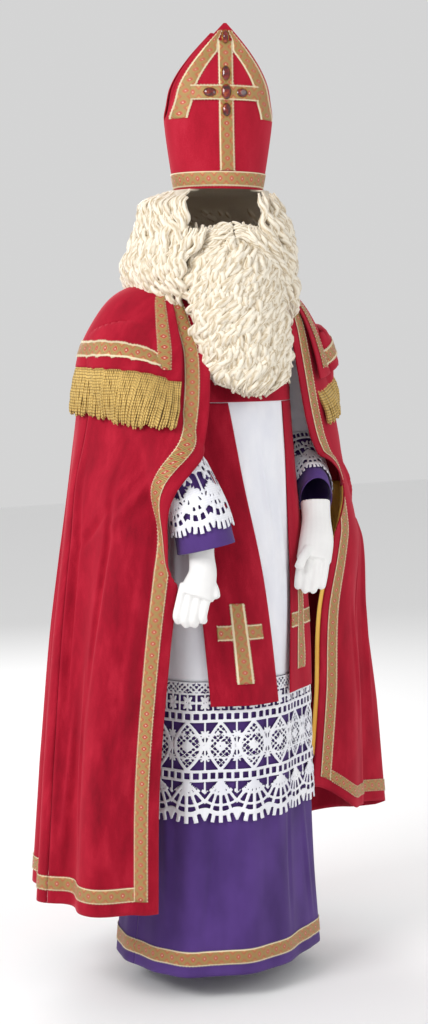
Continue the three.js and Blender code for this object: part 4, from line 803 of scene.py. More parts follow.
def capeOut(down):
    return 2.6 + 3.0 * smoothStep(down, 0.04, 0.09) + cape["flare"] * smoothStep(down, 0.06, cape["down"])


def capePoint(across, down, above=0.0):
    level = down + 0 * across
    return movedOut(copePoint(across, level), capeOut(level) + above)


def capeSpan(side, fromFront):
    edge = -1.0 if side == "right" else 1.0
    return edge - edge * fromFront / float(perUnit(edge, cape["down"]))


capeRows = np.linspace(0, 1, 50)
for side, sign in (("right", -1), ("left", 1)):
    front = capeSpan(side, cape["setback"])
    span = np.linspace(front, -seamShare / 2, 130) if sign < 0 else np.linspace(seamShare / 2, front, 130)
    across = np.broadcast_to(span, (len(capeRows), len(span)))
    down = capeRows[:, None] * capeHem(across)
    grid = capePoint(across, down)
    piece = partsMesh("cape" + side.title(), [shellParts(grid, cape["cloth"])], "redVelveteen")
    settle(piece, "red_velveteen", "cape_" + side)
    declareCloth(piece, grid)
    # The upright of the L of braid, then its foot along the hem to the middle of the back.
    start, end = (capeSpan(side, cape["margin"] + cape["setback"] + d) for d in (0, braid["width"]))
    upright = np.linspace(start, end, 7) if sign < 0 else np.linspace(end, start, 7)
    rows = np.linspace(0.01, float(capeHem(start)) - cape["hemMargin"] / cope["length"], 40)
    uprightStrip = capePoint(np.broadcast_to(upright, (40, 7)), rows[:, None] + np.zeros((40, 7)), onCloth)
    foot = np.linspace(end, -seamShare, 130) if sign < 0 else np.linspace(seamShare, end, 130)
    above = np.linspace(cape["hemMargin"] + braid["width"], cape["hemMargin"], 7) / cope["length"]
    footAcross = np.broadcast_to(foot, (7, 130))
    footStrip = capePoint(footAcross, capeHem(footAcross) - above[:, None], onCloth)
    sewBraid("capeBraid" + side.title(), [uprightStrip, np.swapaxes(footStrip, 0, 1)[:, ::-1]],
             ["cape_braid_" + side])
print("cape made")


# A strand along a path of points: a tube whose radius follows a list, with lobes that wind round it.
def tubeParts(path, radii, sides, lobes=0, lobeDepth=0.0, turns=0.0, phase=0.0):
    path = np.asarray(path, float)
    count = len(path)
    along = unit(np.gradient(path, axis=0))
    helper = np.array([0.31, 0.95, 0.05]) if abs(along[:, 1]).mean() < 0.8 else np.array([0.95, 0.1, 0.3])
    first = unit(np.cross(along, helper))
    second = np.cross(along, first)
    turn = np.linspace(0, 2 * math.pi, sides, endpoint=False)
    lengths = np.concatenate([[0], np.cumsum(np.linalg.norm(np.diff(path, axis=0), axis=1))])
    wind = phase + turns * 2 * math.pi * lengths / max(lengths[-1], 1e-6)
    radius = np.asarray(radii)[:, None] * (1 + lobeDepth * np.cos(lobes * turn[None, :] - wind[:, None]))
    rings = (path[:, None] + first[:, None] * (np.cos(turn)[None, :, None] * radius[..., None])
             + second[:, None] * (np.sin(turn)[None, :, None] * radius[..., None]))
    vertices = rings.reshape(-1, 3)
    i, j = np.meshgrid(np.arange(count - 1), np.arange(sides), indexing="ij")
    a, b = (i * sides + j).ravel(), (i * sides + (j + 1) % sides).ravel()
    faces = np.stack([a, b, b + sides, a + sides], axis=1)
    around = np.broadcast_to(turn / (2 * math.pi), (count, sides))
    uv = np.stack([around, np.broadcast_to(lengths[:, None], (count, sides))], axis=-1)
    return vertices, faces, uv.reshape(-1, 2)


for side, sign in (("right", -1), ("left", 1)):
    front = capeSpan(side, cape["setback"] + 2)
    dense = np.linspace(front, 0, 600)
    hemDowns = capeHem(dense) - np.array([[4], [2], [0]]) / cope["length"]
    hemLine = capePoint(np.broadcast_to(dense, (3, 600)), hemDowns)[2]
    lengths = np.concatenate([[0], np.cumsum(np.linalg.norm(np.diff(hemLine, axis=0), axis=1))])
    strands = []
    for layer, inset in enumerate((3.4, 7.0)):
        for k, distance in enumerate(np.arange(1.5 + layer * 2.2, lengths[-1] - 1, cape["strandEvery"])):
            across = float(np.interp(distance, lengths, dense))
            top = np.array([np.interp(distance, lengths, hemLine[:, c]) for c in range(3)])
            drop = cape["fringe"] + 3 * math.sin(k * 1.3) + 2.5 * math.sin(k * 0.37 + layer)
            inward = unit(np.array([-top[0], 20 - top[1], 0.0]))
            t = np.linspace(0, 1, 13)
            foot = cape["fringeOut"] - inset + 1.6 * math.sin(k * 1.9)
            hangs = copePoint(across + 0.0006 * math.sin(k * 2.1) * t,
                              capeHem(across) + drop * t / cope["length"], foot + 2.2 * np.sin(np.pi * t))
            t = t[:, None]
            sway = acrossView * np.sin(t * 5 + k * 0.9) * 0.8
            path = hangs + (top + inward * inset - hangs[0]) * (1 - t) ** 2 + sway * t
            radii = np.full(13, cape["strandRadius"])
            radii[0], radii[-1] = 1.5, 1.3
            strands.append(tubeParts(path, radii, 6, 2, 0.26, 15, k * 2.4 + math.sin(k * 5.1)))
    piece = partsMesh("capeFringe" + side.title(), strands, "bullionYarn")
    settle(piece, "bullion_fringe", "cape_fringe_" + side)
    print("fringe strands", len(strands))

# The stole
stole = {
    "right": columnsOf("z inner outer out", [(640, 20, -122, 22), (760, 8, -128, 20), (960, -16, -136, 16),
                                             (1120, -38, -144, 12), (1274.4, -58, -144, 8.5)]),
    "left": columnsOf("z inner outer out", [(652, 54, 150, 20), (760, 60, 150, 19), (960, 80, 146, 14),
                                            (1120, 94, 142, 11), (1274.4, 94, 140, 7.5)]),
    "cloth": 2.2, "crossBar": 30.0, "crossLength": 170.0, "crossArm": 92.0, "crossLift": 46.0,
    "yokeAngle": 51.43, "yokeHem": 1275.0, "yokeTop": 1494.0,
}


# A point on the front of the gown at a place across it and a height, moved out from its side.
def frontPoint(x, z, out):
    half = tableValue(gown["sections"], "z", z, "halfWidth")
    angle = -np.degrees(np.arcsin(np.clip(x / (half + 4), -0.99, 0.99)))
    side = unit(gownPoint(angle + 1, z) - gownPoint(angle - 1, z))
    push = np.stack([-side[..., 1], side[..., 0], 0 * side[..., 0]], axis=-1)
    return gownPoint(angle, z) + push * np.asarray(out)[..., None]


# Soft bends that the panels of the stole have of their own: height, spread, place across, spread, depth.
stoleBends = {"right": [(1130, 90, 0.2, 0.3, 3), (930, 130, 0.75, 0.3, 3), (760, 80, 0.3, 0.35, 2.5)],
              "left": [(1080, 120, 0.6, 0.4, 3), (860, 140, 0.3, 0.3, 3), (720, 60, 0.7, 0.3, 2.5)]}


def stolePoint(side, across, z, above=0.0):
    at = lambda column: tableValue(stole[side], "z", z, column)
    start, end = ("outer", "inner") if side == "right" else ("inner", "outer")
    bends = sum(d * bump(z - h, w) * bump(across - a, s) for h, w, a, s, d in stoleBends[side])
    return frontPoint(at(start) + (at(end) - at(start)) * across, z, at("out") + bends + above)


yoke = gownGrid(np.linspace(-stole["yokeAngle"], stole["yokeAngle"], 90),
                np.linspace(stole["yokeTop"], stole["yokeHem"], 50), rochetCreases,
                lambda z: rochetOut(z) + 0.3 + stole["cloth"])
piece = partsMesh("stoleYoke", [shellParts(yoke, stole["cloth"])], "redVelveteen")
settle(piece, "red_velveteen", "stole_yoke")
declareCloth(piece, yoke)
for side in ("right", "left"):
    foot = float(stole[side]["z"][0])
    heights, places = np.linspace(1274.4, foot, 150), np.linspace(1, 0, 36)
    z, across = np.meshgrid(heights, places, indexing="ij")
    panel = stolePoint(side, across, z)
    piece = partsMesh("stolePanel" + side.title(), [shellParts(panel, stole["cloth"])], "redVelveteen")
    settle(piece, "red_velveteen", "stole_panel_" + side)
    declareCloth(piece, panel)
    width = abs(float(stole[side]["inner"][0] - stole[side]["outer"][0]))
    bar, arm = stole["crossBar"] / width / 2, stole["crossArm"] / width / 2
    low = foot + stole["crossLift"]
    armLow = low + stole["crossLength"] * 0.64 - stole["crossBar"] / 2
    strips = []
    for zFrom, zTo, aFrom, aTo, upright in (
            (low + stole["crossLength"], low, 0.5 + bar, 0.5 - bar, True),
            (armLow + 30, armLow, 0.5 + arm, 0.5 + bar, False),
            (armLow + 30, armLow, 0.5 - bar, 0.5 - arm, False)):
        count = (40, 7) if upright else (7, 14)
        z, across = np.meshgrid(np.linspace(zFrom, zTo, count[0]), np.linspace(aFrom, aTo, count[1]),
                                indexing="ij")
        strip = stolePoint(side, across, z, onCloth)
        strips.append(strip if upright else np.swapaxes(strip, 0, 1)[:, ::-1])
    sewBraid("stoleCross" + side.title(), strips, ["stole_cross_" + side])
print("stole made")

# Guipure lace
lace = {"cell": 2.6, "cord": 3.6, "repeat": 66.0, "cloth": 1.4, "depth": 302.0, "sleeveDepth": 125.0}


def ringField(x, y, radius, thick):
    return thick / 2 - np.abs(np.hypot(x, y) - radius)


def flowerField(x, y, radius, petals):
    r, turn = np.hypot(x, y), np.arctan2(y, x)
    edge = radius * (0.74 + 0.26 * np.cos(petals * turn))
    solid = edge - r
    eye = r - radius * 0.2
    return np.minimum(solid, eye)


def barsField(x, spacing, thick):
    return thick / 2 - np.abs((x + spacing / 2) % spacing - spacing / 2)


def boxField(x, y, halfWidth, halfHeight):
    return np.minimum(halfWidth - np.abs(x), halfHeight - np.abs(y))


def either(*fields):
    return np.maximum.reduce(np.broadcast_arrays(*fields))


def both(*fields):
    return np.minimum.reduce(np.broadcast_arrays(*fields))


def netField(x, y, spacing, thick):
    return either(barsField(x + y, spacing, thick), barsField(x - y, spacing, thick))


def within(y, top, bottom):
    return np.minimum(y - top, bottom - y)


# The hem lace, above zero where there is thread: x runs round the hem, y down from the lace's top.
def hemLaceField(x, y):
    wide, cord = lace["repeat"], lace["cord"]
    u = (x + wide / 2) % wide - wide / 2
    half = (x + wide / 4) % (wide / 2) - wide / 4
    net = both(netField(x, y, 11.0, 4.2), within(y, -2, 26))
    rails = either(*[cord / 2 + 0.4 - np.abs(y - at) for at in (1.5, 25, 63, 84, 190, 211)])
    flowers = both(either(flowerField(half, y - 44, 15.5, 6), both(barsField(half, wide / 2, cord),
                   -ringField(half, y - 44, 0, 20)), cord / 2 - np.abs(half - 0) + 0 * y,
                   both(cord / 2 - np.abs(np.abs(half) - wide / 4), within(y, 24, 64)),
                   both(cord / 2 - np.abs(y - 44), np.abs(half) - 12)), within(y, 24, 64))
    squares = either(*[both(-boxField((x + 8.25) % 16.5 - 8.25, y - at, 5.2, 6.6),
                            within(y, at - 11, at + 11)) for at in (73.5, 200.5)])
    tall = (y - 137) / 51
    oval = 27 * np.clip(1 - np.abs(tall) ** 1.7, 0, 1)
    outline = both(3.4 - np.abs(np.abs(u) - oval) * 0.9, within(y, 84, 190))
    fill = both(netField(u, y - 137, 12.0, 3.4), oval - np.abs(u), within(y, 86, 188))
    heart = flowerField(u, y - 137, 11, 4)
    v = (x + wide) % wide - wide / 2
    rosettes = both(either(flowerField(v, y - 112, 11.5, 8), flowerField(v, y - 162, 11.5, 8),
                           ringField(v, y - 137, 6.5, 4.4), cord / 2 - np.abs(v),
                           both(cord / 2 - np.abs(y - 112), 30 - np.abs(v)),
                           both(cord / 2 - np.abs(y - 162), 30 - np.abs(v))), within(y, 84, 190))
    # Fans spread from a point on the lower rail; their spokes leave triangular holes.
    down = y - 214
    reach = np.hypot(u, down + 4)
    turn = np.degrees(np.arctan2(u, down + 4))
    spokes = (3.0 - np.abs((turn + 9) % 18 - 9) / 57.3 * reach) * 1.0
    fanEdge = 78 + 4 * np.cos(np.radians(turn * 10))
    fan = both(either(spokes, ringField(u, down + 4, 30, 6), ringField(u, down + 4, 54, 5),
                      ringField(u, down + 4, 72, 10)), fanEdge - reach, 50 - np.abs(turn), down)
    between = both(either(flowerField(v, down - 26, 12, 5), ringField(v, down - 52, 8, 5),
                          cord / 2 - np.abs(v), both(cord / 2 - np.abs(down - 26), 26 - np.abs(v))),
                   within(down, 0, 62), np.abs(turn) - 48)
    tasselTurn = (turn + 5.6) % 11.2 - 5.6
    tassels = both(4.0 - np.abs(tasselTurn) / 57.3 * reach, 92 - reach, reach - 70, 50 - np.abs(turn), down)
    foot = both(cord / 2 + 1 - np.abs(down - 62 - 5 * np.cos(2 * np.pi * x / wide)), down)
    return either(net, rails, flowers, squares, outline, fill, both(heart, within(y, 84, 190)), rosettes,
                  fan, between, tassels, foot)


def sleeveLaceField(x, y):
    wide, cord = 45.0, lace["cord"]
    u = (x + wide / 2) % wide - wide / 2
    v = (x + wide) % wide - wide / 2
    rails = either(*[cord / 2 + 0.4 - np.abs(y - at) for at in (1.5, 22)])
    squares = both(-boxField((x + 5.6) % 11.25 - 5.6, y - 12, 3.6, 6.2), within(y, 0, 23))
    flowers = both(either(flowerField(u, y - 46, 17, 6), ringField(v, y - 40, 8, 5), cord / 2 - np.abs(v),
                          both(cord / 2 - np.abs(y - 46), np.abs(u) - 14)), within(y, 22, 72))
    down = y - 62
    reach = np.hypot(u, down)
    turn = np.degrees(np.arctan2(u, down))
    fan = both(either(2.8 - np.abs((turn + 10) % 20 - 10) / 57.3 * reach, ringField(u, down, 16, 5),
                      ringField(u, down, 34, 5), ringField(u, down, 47, 7)),
               51 - reach, 62 - np.abs(turn), down)
    tassels = both(3.6 - np.abs((turn + 6) % 12 - 6) / 57.3 * reach, 60 - reach, reach - 46,
                   56 - np.abs(turn), down)
    link = both(cord / 2 + 0.6 - np.abs(down - 24), down)
    return either(rails, squares, flowers, fan, tassels, link,
                  both(cord / 2 - np.abs(v), within(down, 0, 30)))


# A grid of lace cells: those inside the threads stay, and corners along a gap move onto its outline.
def laceMesh(name, surface, field, width, depth, repeats, material):
    columns = int(round(width / lace["cell"])) + 1
    rows = int(round(depth / lace["cell"])) + 1
    x = np.linspace(0, width, columns)
    y = np.linspace(0, depth, rows)
    gridX, gridY = np.meshgrid(x, y)
    scaled = lambda a: a * repeats["wide"] / width
    f = lambda a, b: field(scaled(a), b)
    step = 0.4
    middle = f((gridX[1:, 1:] + gridX[:-1, :-1]) / 2, (gridY[1:, 1:] + gridY[:-1, :-1]) / 2) > 0
    value = f(gridX, gridY)
    slopeX = (f(gridX + step, gridY) - f(gridX - step, gridY)) / (2 * step)
    slopeY = (f(gridX, gridY + step) - f(gridX, gridY - step)) / (2 * step)
    size = slopeX ** 2 + slopeY ** 2 + 1e-3
    near = np.pad(middle, 1)
    count = near[:-1, :-1].astype(int) + near[1:, :-1] + near[:-1, 1:] + near[1:, 1:]
    isRim = (count > 0) & (count < 4)
    isRim[0], isRim[:, 0], isRim[:, -1] = False, False, False
    limit = lace["cell"] * 0.45
    moveX = np.where(isRim, np.clip(-value * slopeX / size, -limit, limit), 0)
    moveY = np.where(isRim, np.clip(-value * slopeY / size, -limit, limit), 0)
    shiftX, shiftY = gridX + moveX, gridY + moveY
    swell = 0.7 * np.clip(value / 2.2, 0, 1)
    grid = surface(shiftX / width, shiftY / depth, swell)
    uv = np.stack([shiftX, shiftY], axis=-1)
    v, faces, uvs = shellParts(grid, lace["cloth"], isCloth=middle, uv=uv)
    used = np.unique(faces)
    remap = np.full(len(v), -1)
    remap[used] = np.arange(len(used))
    piece = meshOf(name, v[used], remap[faces].tolist(), uvs[used], material)
    cells = clothArea(grid) * float(middle.mean())
    long = np.linalg.norm(np.diff(grid, axis=0), axis=2).sum(axis=0).mean()
    wide = clothArea(grid) * 1e6 / long
    cutSizes[name] = (round(wide / 1000, 3), round(long / 1000, 3), round(cells, 4))
    print(name, cutSizes[name], "triangles", 2 * len(faces))
    return piece


def hemLaceSurface(angles):
    def surface(across, down, swell):
        z = gown["laceTop"] - 0.4 - lace["depth"] * down
        angle = angles[0] + (angles[-1] - angles[0]) * across
        return movedOut(gownPoint(angle, z), gown["rochetDrop"] + 2.6 + swell
                        + creaseDepth(gown["creases"], angle, z) * 0.6)
    return surface


for half, angles in halves.items():
    around = float(np.linalg.norm(np.diff(gownPoint(angles, 540.0), axis=0), axis=1).sum())
    repeats = {"wide": round(around / lace["repeat"]) * lace["repeat"]}
    piece = laceMesh("hemLace" + half.title(), hemLaceSurface(angles), hemLaceField, around,
                     lace["depth"], repeats, "guipureThread")
    settle(piece, "guipure_lace", "hem_lace_" + half)

for side in ("right", "left"):
    shares = np.linspace(sleeves["laceStart"], sleeves["laceEnd"] + 0.004, 60)
    places = [sleeveAt(side, s) for s in shares]
    for half, low in (("upper", 0.0), ("lower", 180.0)):
        def sleeveSurface(across, down, swell, places=places, low=low):
            table = np.array([onTube(p, np.linspace(low, low + 180, 91),
                                     sleeves["rochetOut"] + sleeves["laceClear"]) for p in places])
            i = np.clip(down, 0, 1) * (len(places) - 1)
            j = np.clip(across, 0.001, 0.999) * 90
            i0, j0 = np.minimum(i.astype(int), len(places) - 2), np.minimum(j.astype(int), 89)
            ti, tj = (i - i0)[..., None], (j - j0)[..., None]
            grid = ((table[i0, j0] * (1 - tj) + table[i0, j0 + 1] * tj) * (1 - ti)
                    + (table[i0 + 1, j0] * (1 - tj) + table[i0 + 1, j0 + 1] * tj) * ti)
            return movedOut(grid, swell)
        piece = laceMesh("sleeveLace" + side.title() + half.title(), sleeveSurface, sleeveLaceField, 180.0,
                         lace["sleeveDepth"], {"wide": 180.0}, "guipureThread")
        settle(piece, "guipure_lace", "sleeve_lace_" + side + "_" + half)
print("lace made")

# The mitre
mitre = {
    "table": columnsOf("height half round deep", [
        (0, 94, 94, 98), (5, 95, 95, 97), (36, 101, 101, 95), (109, 112.48, 112.5, 87),
        (147, 116.97, 117, 84), (181, 108, 118, 81), (217, 99, 118, 78), (252, 80, 118, 75),
        (288, 53, 118, 72), (313, 31, 118, 70), (343, 3, 118, 68)]),
    "rim": 1722.0, "felt": 2.6, "gap": 0.7, "turn": -23.0, "margin": 6.0, "edgeBraid": 33.0,
    "stones": [  # name, across, height, wide, high, off the felt
        ("top", 0, 314, 13, 27, 2.2), ("upper", 0, 239, 18, 30, 1.5), ("centre", 0, 200, 21, 31, 3.1),
        ("right", -34, 199, 27, 19, 2.3), ("left", 34, 199, 25, 19, 2.5), ("lower", 0, 163, 18, 28, 1.5)],
    "crownInset": 4.7, "valley": 150.0,
}


def headPoint(x, y, z):
    turn = math.radians(mitre["turn"])
    return points(x * math.cos(turn) - y * math.sin(turn), x * math.sin(turn) + y * math.cos(turn), z)


def shieldPoint(x, height):
    at = lambda column: tableValue(mitre["table"], "height", height, column)
    bulge = np.sqrt(np.clip(1 - (x / at("round")) ** 2, 0, 1))
    return headPoint(x, -mitre["gap"] - at("deep") * bulge, mitre["rim"] + height)


def shieldHalf(height):
    half, side = (tableValue(mitre["table"], "height", height, column) for column in ("half", "round"))
    return np.where(np.asarray(height) < 147, side, half)  # the shields meet at the sides below the slant


def halfTurned(grid):
    return grid * np.array([-1.0, -1.0, 1.0])


shieldHeights = np.concatenate([np.linspace(343, 230, 50)[:-1], np.linspace(230, 0, 60)])
shares = np.sin(np.linspace(-np.pi / 2, np.pi / 2, 61))[::-1]
shieldZ, shieldShare = np.meshgrid(shieldHeights, shares, indexing="ij")
shield = shieldPoint(shieldShare * shieldHalf(shieldZ) * 0.99999, shieldZ)
for place in ("front", "back"):
    grid = shield if place == "front" else halfTurned(shield)
    piece = partsMesh("mitre" + place.title(), [shellParts(grid, mitre["felt"])], "redFelt")
    settle(piece, "red_felt", "mitre_" + place)
    declareCloth(piece, grid)
    # Braid along both slanting edges, inside a narrow margin of felt.
    strips = []
    for sign in (1, -1):
        heights = np.concatenate([np.linspace(328, 250, 40)[:-1], np.linspace(250, 147, 30)])
        half = shieldHalf(heights)
        outer = half - np.minimum(mitre["margin"], 0.25 * half)
        inner = np.maximum(outer - mitre["edgeBraid"], np.minimum(15.6, outer * 0.52))
        t = np.linspace(0, 1, 7)[None, :]
        x = sign * (outer[:, None] * (1 - t) + inner[:, None] * t)
        strip = shieldPoint(x, heights[:, None] + 0 * x)
        strip = strip if sign > 0 else strip[:, ::-1]
        strip = movedOut(strip, onCloth)
        strips.append(strip if place == "front" else halfTurned(strip))
    sewBraid("mitreEdgeBraid" + place.title(), strips, ["mitre_edge_braid_" + place])

heights, x = np.meshgrid(np.linspace(306, 37, 60), np.linspace(15, -15, 7), indexing="ij")
sewBraid("mitreUprightBar", [movedOut(shieldPoint(x, heights), onCloth)], ["mitre_upright_bar"])
heights, x = np.meshgrid(np.linspace(214, 184, 7), np.linspace(72, -72, 50), indexing="ij")
crossBar = movedOut(shieldPoint(x, heights), onCloth + braid["cloth"] + 0.4)
sewBraid("mitreCrossBar", [np.swapaxes(crossBar, 0, 1)[:, ::-1]], ["mitre_cross_bar"])
bandHeights = np.linspace(35.5, 5.5, 7)
bandAcross = np.sin(np.linspace(np.pi / 2, -np.pi / 2, 70))[None, :] * shieldHalf(bandHeights)[:, None]
frontBand = shieldPoint(bandAcross, bandHeights[:, None] + np.zeros((7, 70)))
bandRing = movedOut(np.concatenate([frontBand, halfTurned(frontBand)[:, 1:]], axis=1), onCloth, loops=True)
sewBraid("mitreBand", [np.swapaxes(bandRing, 0, 1)[:, ::-1]], ["mitre_band"], (True, False))

# The soft crown is folded down between the shields.
insideShield = movedOut(shield, -mitre["crownInset"])
rowsAbove = [i for i, h in enumerate(shieldHeights) if 147 <= h <= 334]
rightEdge, leftEdge = insideShield[rowsAbove, 4], insideShield[rowsAbove, -5]
frontEdge = np.concatenate([rightEdge[::-1], leftEdge])
backEdge = halfTurned(np.concatenate([leftEdge[::-1], rightEdge]))
low = mitre["rim"] + mitre["valley"]
middle = (frontEdge + backEdge) / 2
valley = np.stack([middle[:, 0] * 0.93, middle[:, 1] * 0.93, low + (frontEdge[:, 2] - low) * 0.06], axis=-1)
t = np.linspace(0, 1, 24)[:, None, None]
bowed = (backEdge * (1 - t) ** 2 + 2 * t * (1 - t) * (valley * 1.4 - (frontEdge + backEdge) * 0.2)
         + frontEdge * t ** 2)
piece = partsMesh("mitreCrown", [shellParts(bowed, 1.6)], "redFelt")
settle(piece, "red_felt", "mitre_crown")
declareCloth(piece, bowed)

# Faceted stones in thin stamped settings.
for name, x, height, wide, high, off in mitre["stones"]:
    centre = shieldPoint(np.array(float(x)), np.array(float(height)))
    across = unit(shieldPoint(x - 8.0, height) - shieldPoint(x + 8.0, height))
    down = unit(shieldPoint(x, height - 12.0) - shieldPoint(x, height + 12.0))
    out = unit(np.cross(across, down))
    sides = 12
    turn = np.linspace(0, 2 * np.pi, sides, endpoint=False)
    profile = [(1.0, 0.2, 0), (1.0, 1.6, 0.5), (0.8, 3.9, 0), (0.52, 5.6, 0.5)]
    rings = [centre + across * (np.cos(turn + shift * np.pi / 6) * wide / 2 * scale)[:, None]
             + down * (np.sin(turn + shift * np.pi / 6) * high / 2 * scale)[:, None] + out * (off + rise)
             for scale, rise, shift in profile]
    vertices = np.concatenate(rings + [centre[None] + out * off])
    faces = []
    for r in range(len(rings) - 1):
        for k in range(sides):
            a, b = r * sides + k, r * sides + (k + 1) % sides
            lean = profile[r + 1][2] - profile[r][2]
            split = (a, b, a + sides), (b, b + sides, a + sides)
            if lean < 0:
                split = (a, b, b + sides), (a, b + sides, a + sides)
            faces.extend(split)
    faces.append(tuple(range((len(rings) - 1) * sides, len(rings) * sides)))
    faces.extend((len(vertices) - 1, (k + 1) % sides, k) for k in range(sides))
    flatUv = np.zeros((len(vertices), 2))
    piece = meshOf("stone" + name.title(), vertices, faces, flatUv, "pressedGlass", False)
    settle(piece, "cut_glass", "mitre_gem_" + name)
    # The setting: a thin brass lip round the stone.
    lipTurn = np.linspace(0, 2 * np.pi, 49)
    lip = (centre + across * (np.cos(lipTurn) * (wide / 2 + 0.6))[:, None]
           + down * (np.sin(lipTurn) * (high / 2 + 0.6))[:, None] + out * (off + 0.7))
    setting = partsMesh("setting" + name.title(), [tubeParts(lip, np.full(49, 0.9), 6)], "stampedBrass")
    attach(setting, "root")
print("mitre made")

# Wig, beard and moustache
hair = {
    "wig": columnsOf("z radius open shift", [
        (1440, 150, 64, 0), (1500, 172, 60, -10), (1560, 177, 55, -20), (1600, 168, 47, -14),
        (1650, 155, 42, -11), (1690, 145, 43, -16)]),
    "beard": columnsOf("z x y half facing back", [
        (1288, -26, -176, 62, -10, 22), (1310, -28, -180, 88, -11, 30), (1360, -33, -182, 98, -13, 36),
        (1450, -52, -172, 105, -17, 42), (1540, -60, -158, 104, -21, 46), (1600, -56, -140, 96, -23, 50),
        (1655, -46, -112, 82, -23, 52)]),
    "rim": 1721.0, "shellIn": 9.0, "beardThick": 42.0,
}


def wigPoint(share, z, out=0.0):
    at = lambda column: tableValue(hair["wig"], "z", z, column)
    ledge = smoothStep(z, 1690, hair["rim"])
    radius = at("radius") - (at("radius") - 117) * ledge * 0.95
    turn = np.radians(at("open") + (360 - 2 * at("open")) * share)
    reach = radius + out
    long = 1 + 0.06 * np.cos(turn) ** 2
    return headPoint(at("shift") * (1 - ledge) - reach * np.sin(turn), -reach * long * np.cos(turn), z)


def beardPoint(place, z, out=0.0):
    at = lambda column: tableValue(hair["beard"], "z", z, column)
    facing = np.radians(at("facing"))
    x, y = place * at("half"), at("back") * place * place - out
    return points(at("x") + x * np.cos(facing) - y * np.sin(facing),
                  at("y") + x * np.sin(facing) + y * np.cos(facing), z)


# A lock that winds down a surface: it sways in soft S-waves, curls in a ringlet, and thins to its tip.
def lockOn(surface, start, z0, length, options):
    sway, waves, curl, turns, radius, lift, phase, perMm = options
    count = 26
    t = np.linspace(0, 1, count)
    z = z0 - length * t
    grow = smoothStep(t, 0, 0.25)
    spin = 2 * np.pi * turns * t + phase
    side = start + (sway * np.sin(2 * np.pi * waves * t + phase) * grow + curl * np.cos(spin) * grow) * perMm
    out = lift + curl * np.sin(spin) * grow * 0.8
    radii = radius * (0.35 + 0.65 * smoothStep(t, 0, 0.2)) * (1 - 0.72 * smoothStep(t, 0.72, 1))
    return tubeParts(surface(side, z, out), radii, 8, 4, 0.2, 3.0, phase)


# The wig's base and its locks, in layers from the inside out.
wigZ, wigShare = np.meshgrid(np.concatenate([[hair["rim"]], np.linspace(1700, 1470, 50)]),
                             np.linspace(0.015, 0.985, 130), indexing="ij")
base = wigPoint(wigShare, wigZ, -hair["shellIn"] + 2.0 * np.sin(wigShare * 70 + wigZ * 0.08))
capHeights = [1800, 1790, 1775, 1755, 1735, 1722]
capRadii = [30, 55, 72, 82, 86, 87]
capTurn = np.radians(42 + 276 * np.linspace(0, 1, 130))
capGrid = np.array([headPoint(-r * np.sin(capTurn), -r * 1.04 * np.cos(capTurn), h)
                    for h, r in zip(capHeights, capRadii)])
baseGrid = np.concatenate([capGrid, base])
v, f, uv = shellParts(baseGrid, 5.0)
strands = [(v, f, uv)]
perMm = 1 / 850.0
for layer, (levels, lift, radius) in enumerate([
        (np.linspace(1716, 1580, 4), -3.0, 9.5), (np.linspace(1716, 1560, 5), 2.5, 8.4)]):
    for row, z0 in enumerate(levels):
        for share in np.arange(0.012 + 0.01 * ((row + layer) % 2), 0.99, 0.028):
            jitter = randomly.uniform(-1, 1, 6)
            foot = 1462 if 0.1 < share < 0.9 else 1452
            length = min(150 + 40 * jitter[0], z0 - foot + 10 * jitter[1])
            if length < 45:
                continue
            strands.append(lockOn(wigPoint, share + 0.006 * jitter[2], z0 + 8 * jitter[3] - 6, length, (
                10 + 4 * jitter[4], 1.2, 8.0, 2.8 + 0.7 * jitter[5], radius + 1.4 * jitter[1],
                lift, jitter[0] * 3, perMm)))
# Loose curls at the wig's front edges, which run down between it and the beard.
for sign in (1, -1):
    for k in range(9):
        for row, z0 in enumerate((1714, 1640, 1575)):
            jitter = randomly.uniform(-1, 1, 4)
            share = -0.004 - 0.0105 * k + 0.002 * jitter[0]
            if row == 0 and k > 2:
                continue
            share = share if sign > 0 else 1 - share
            length = (150, 130, 110)[row] + 10 * jitter[1]
            strands.append(lockOn(wigPoint, share, z0 - 4 * k * (row == 0) + 6 * jitter[2], length, (
                6, 1.4, 6.0, 2.8, 7.5, -2.0 - 1.5 * k, k * 2.0 + row, perMm)))
piece = partsMesh("wig", strands, "curledFibre")
settle(piece, "curly_hair", "wig")
print("wig locks", len(strands))

beardZ, beardPlace = np.meshgrid(np.linspace(1640, 1335, 60), np.linspace(0.88, -0.88, 60), indexing="ij")
base = beardPoint(beardPlace, beardZ, -7.0 + 2.0 * np.sin(beardPlace * 18 + beardZ * 0.06))
v, f, uv = shellParts(base, hair["beardThick"] * 0.4)
strands = [(v, f, uv)]
for layer, (levels, lift, radius) in enumerate([
        (np.linspace(1644, 1400, 7), -3.5, 9.0), (np.linspace(1636, 1410, 7), 2.5, 8.0)]):
    for row, z0 in enumerate(levels):
        for place in np.arange(-0.93 + 0.05 * ((row + layer) % 2), 0.95, 0.105):
            jitter = randomly.uniform(-1, 1, 6)
            foot = 1290 + 34 * place * place
            length = min(140 + 35 * jitter[0], z0 - foot)
            if length < 40:
                continue
            strands.append(lockOn(beardPoint, place * 0.96 + 0.02 * jitter[2], z0 + 8 * jitter[3], length, (
                10 + 4 * jitter[4], 1.4, 8.0, 2.8 + 0.8 * jitter[5], radius + 1.4 * jitter[1],
                lift, jitter[0] * 3, 1 / 100.0)))
piece = partsMesh("beard", strands, "curledFibre")
settle(piece, "curly_hair", "beard")
print("beard locks", len(strands))

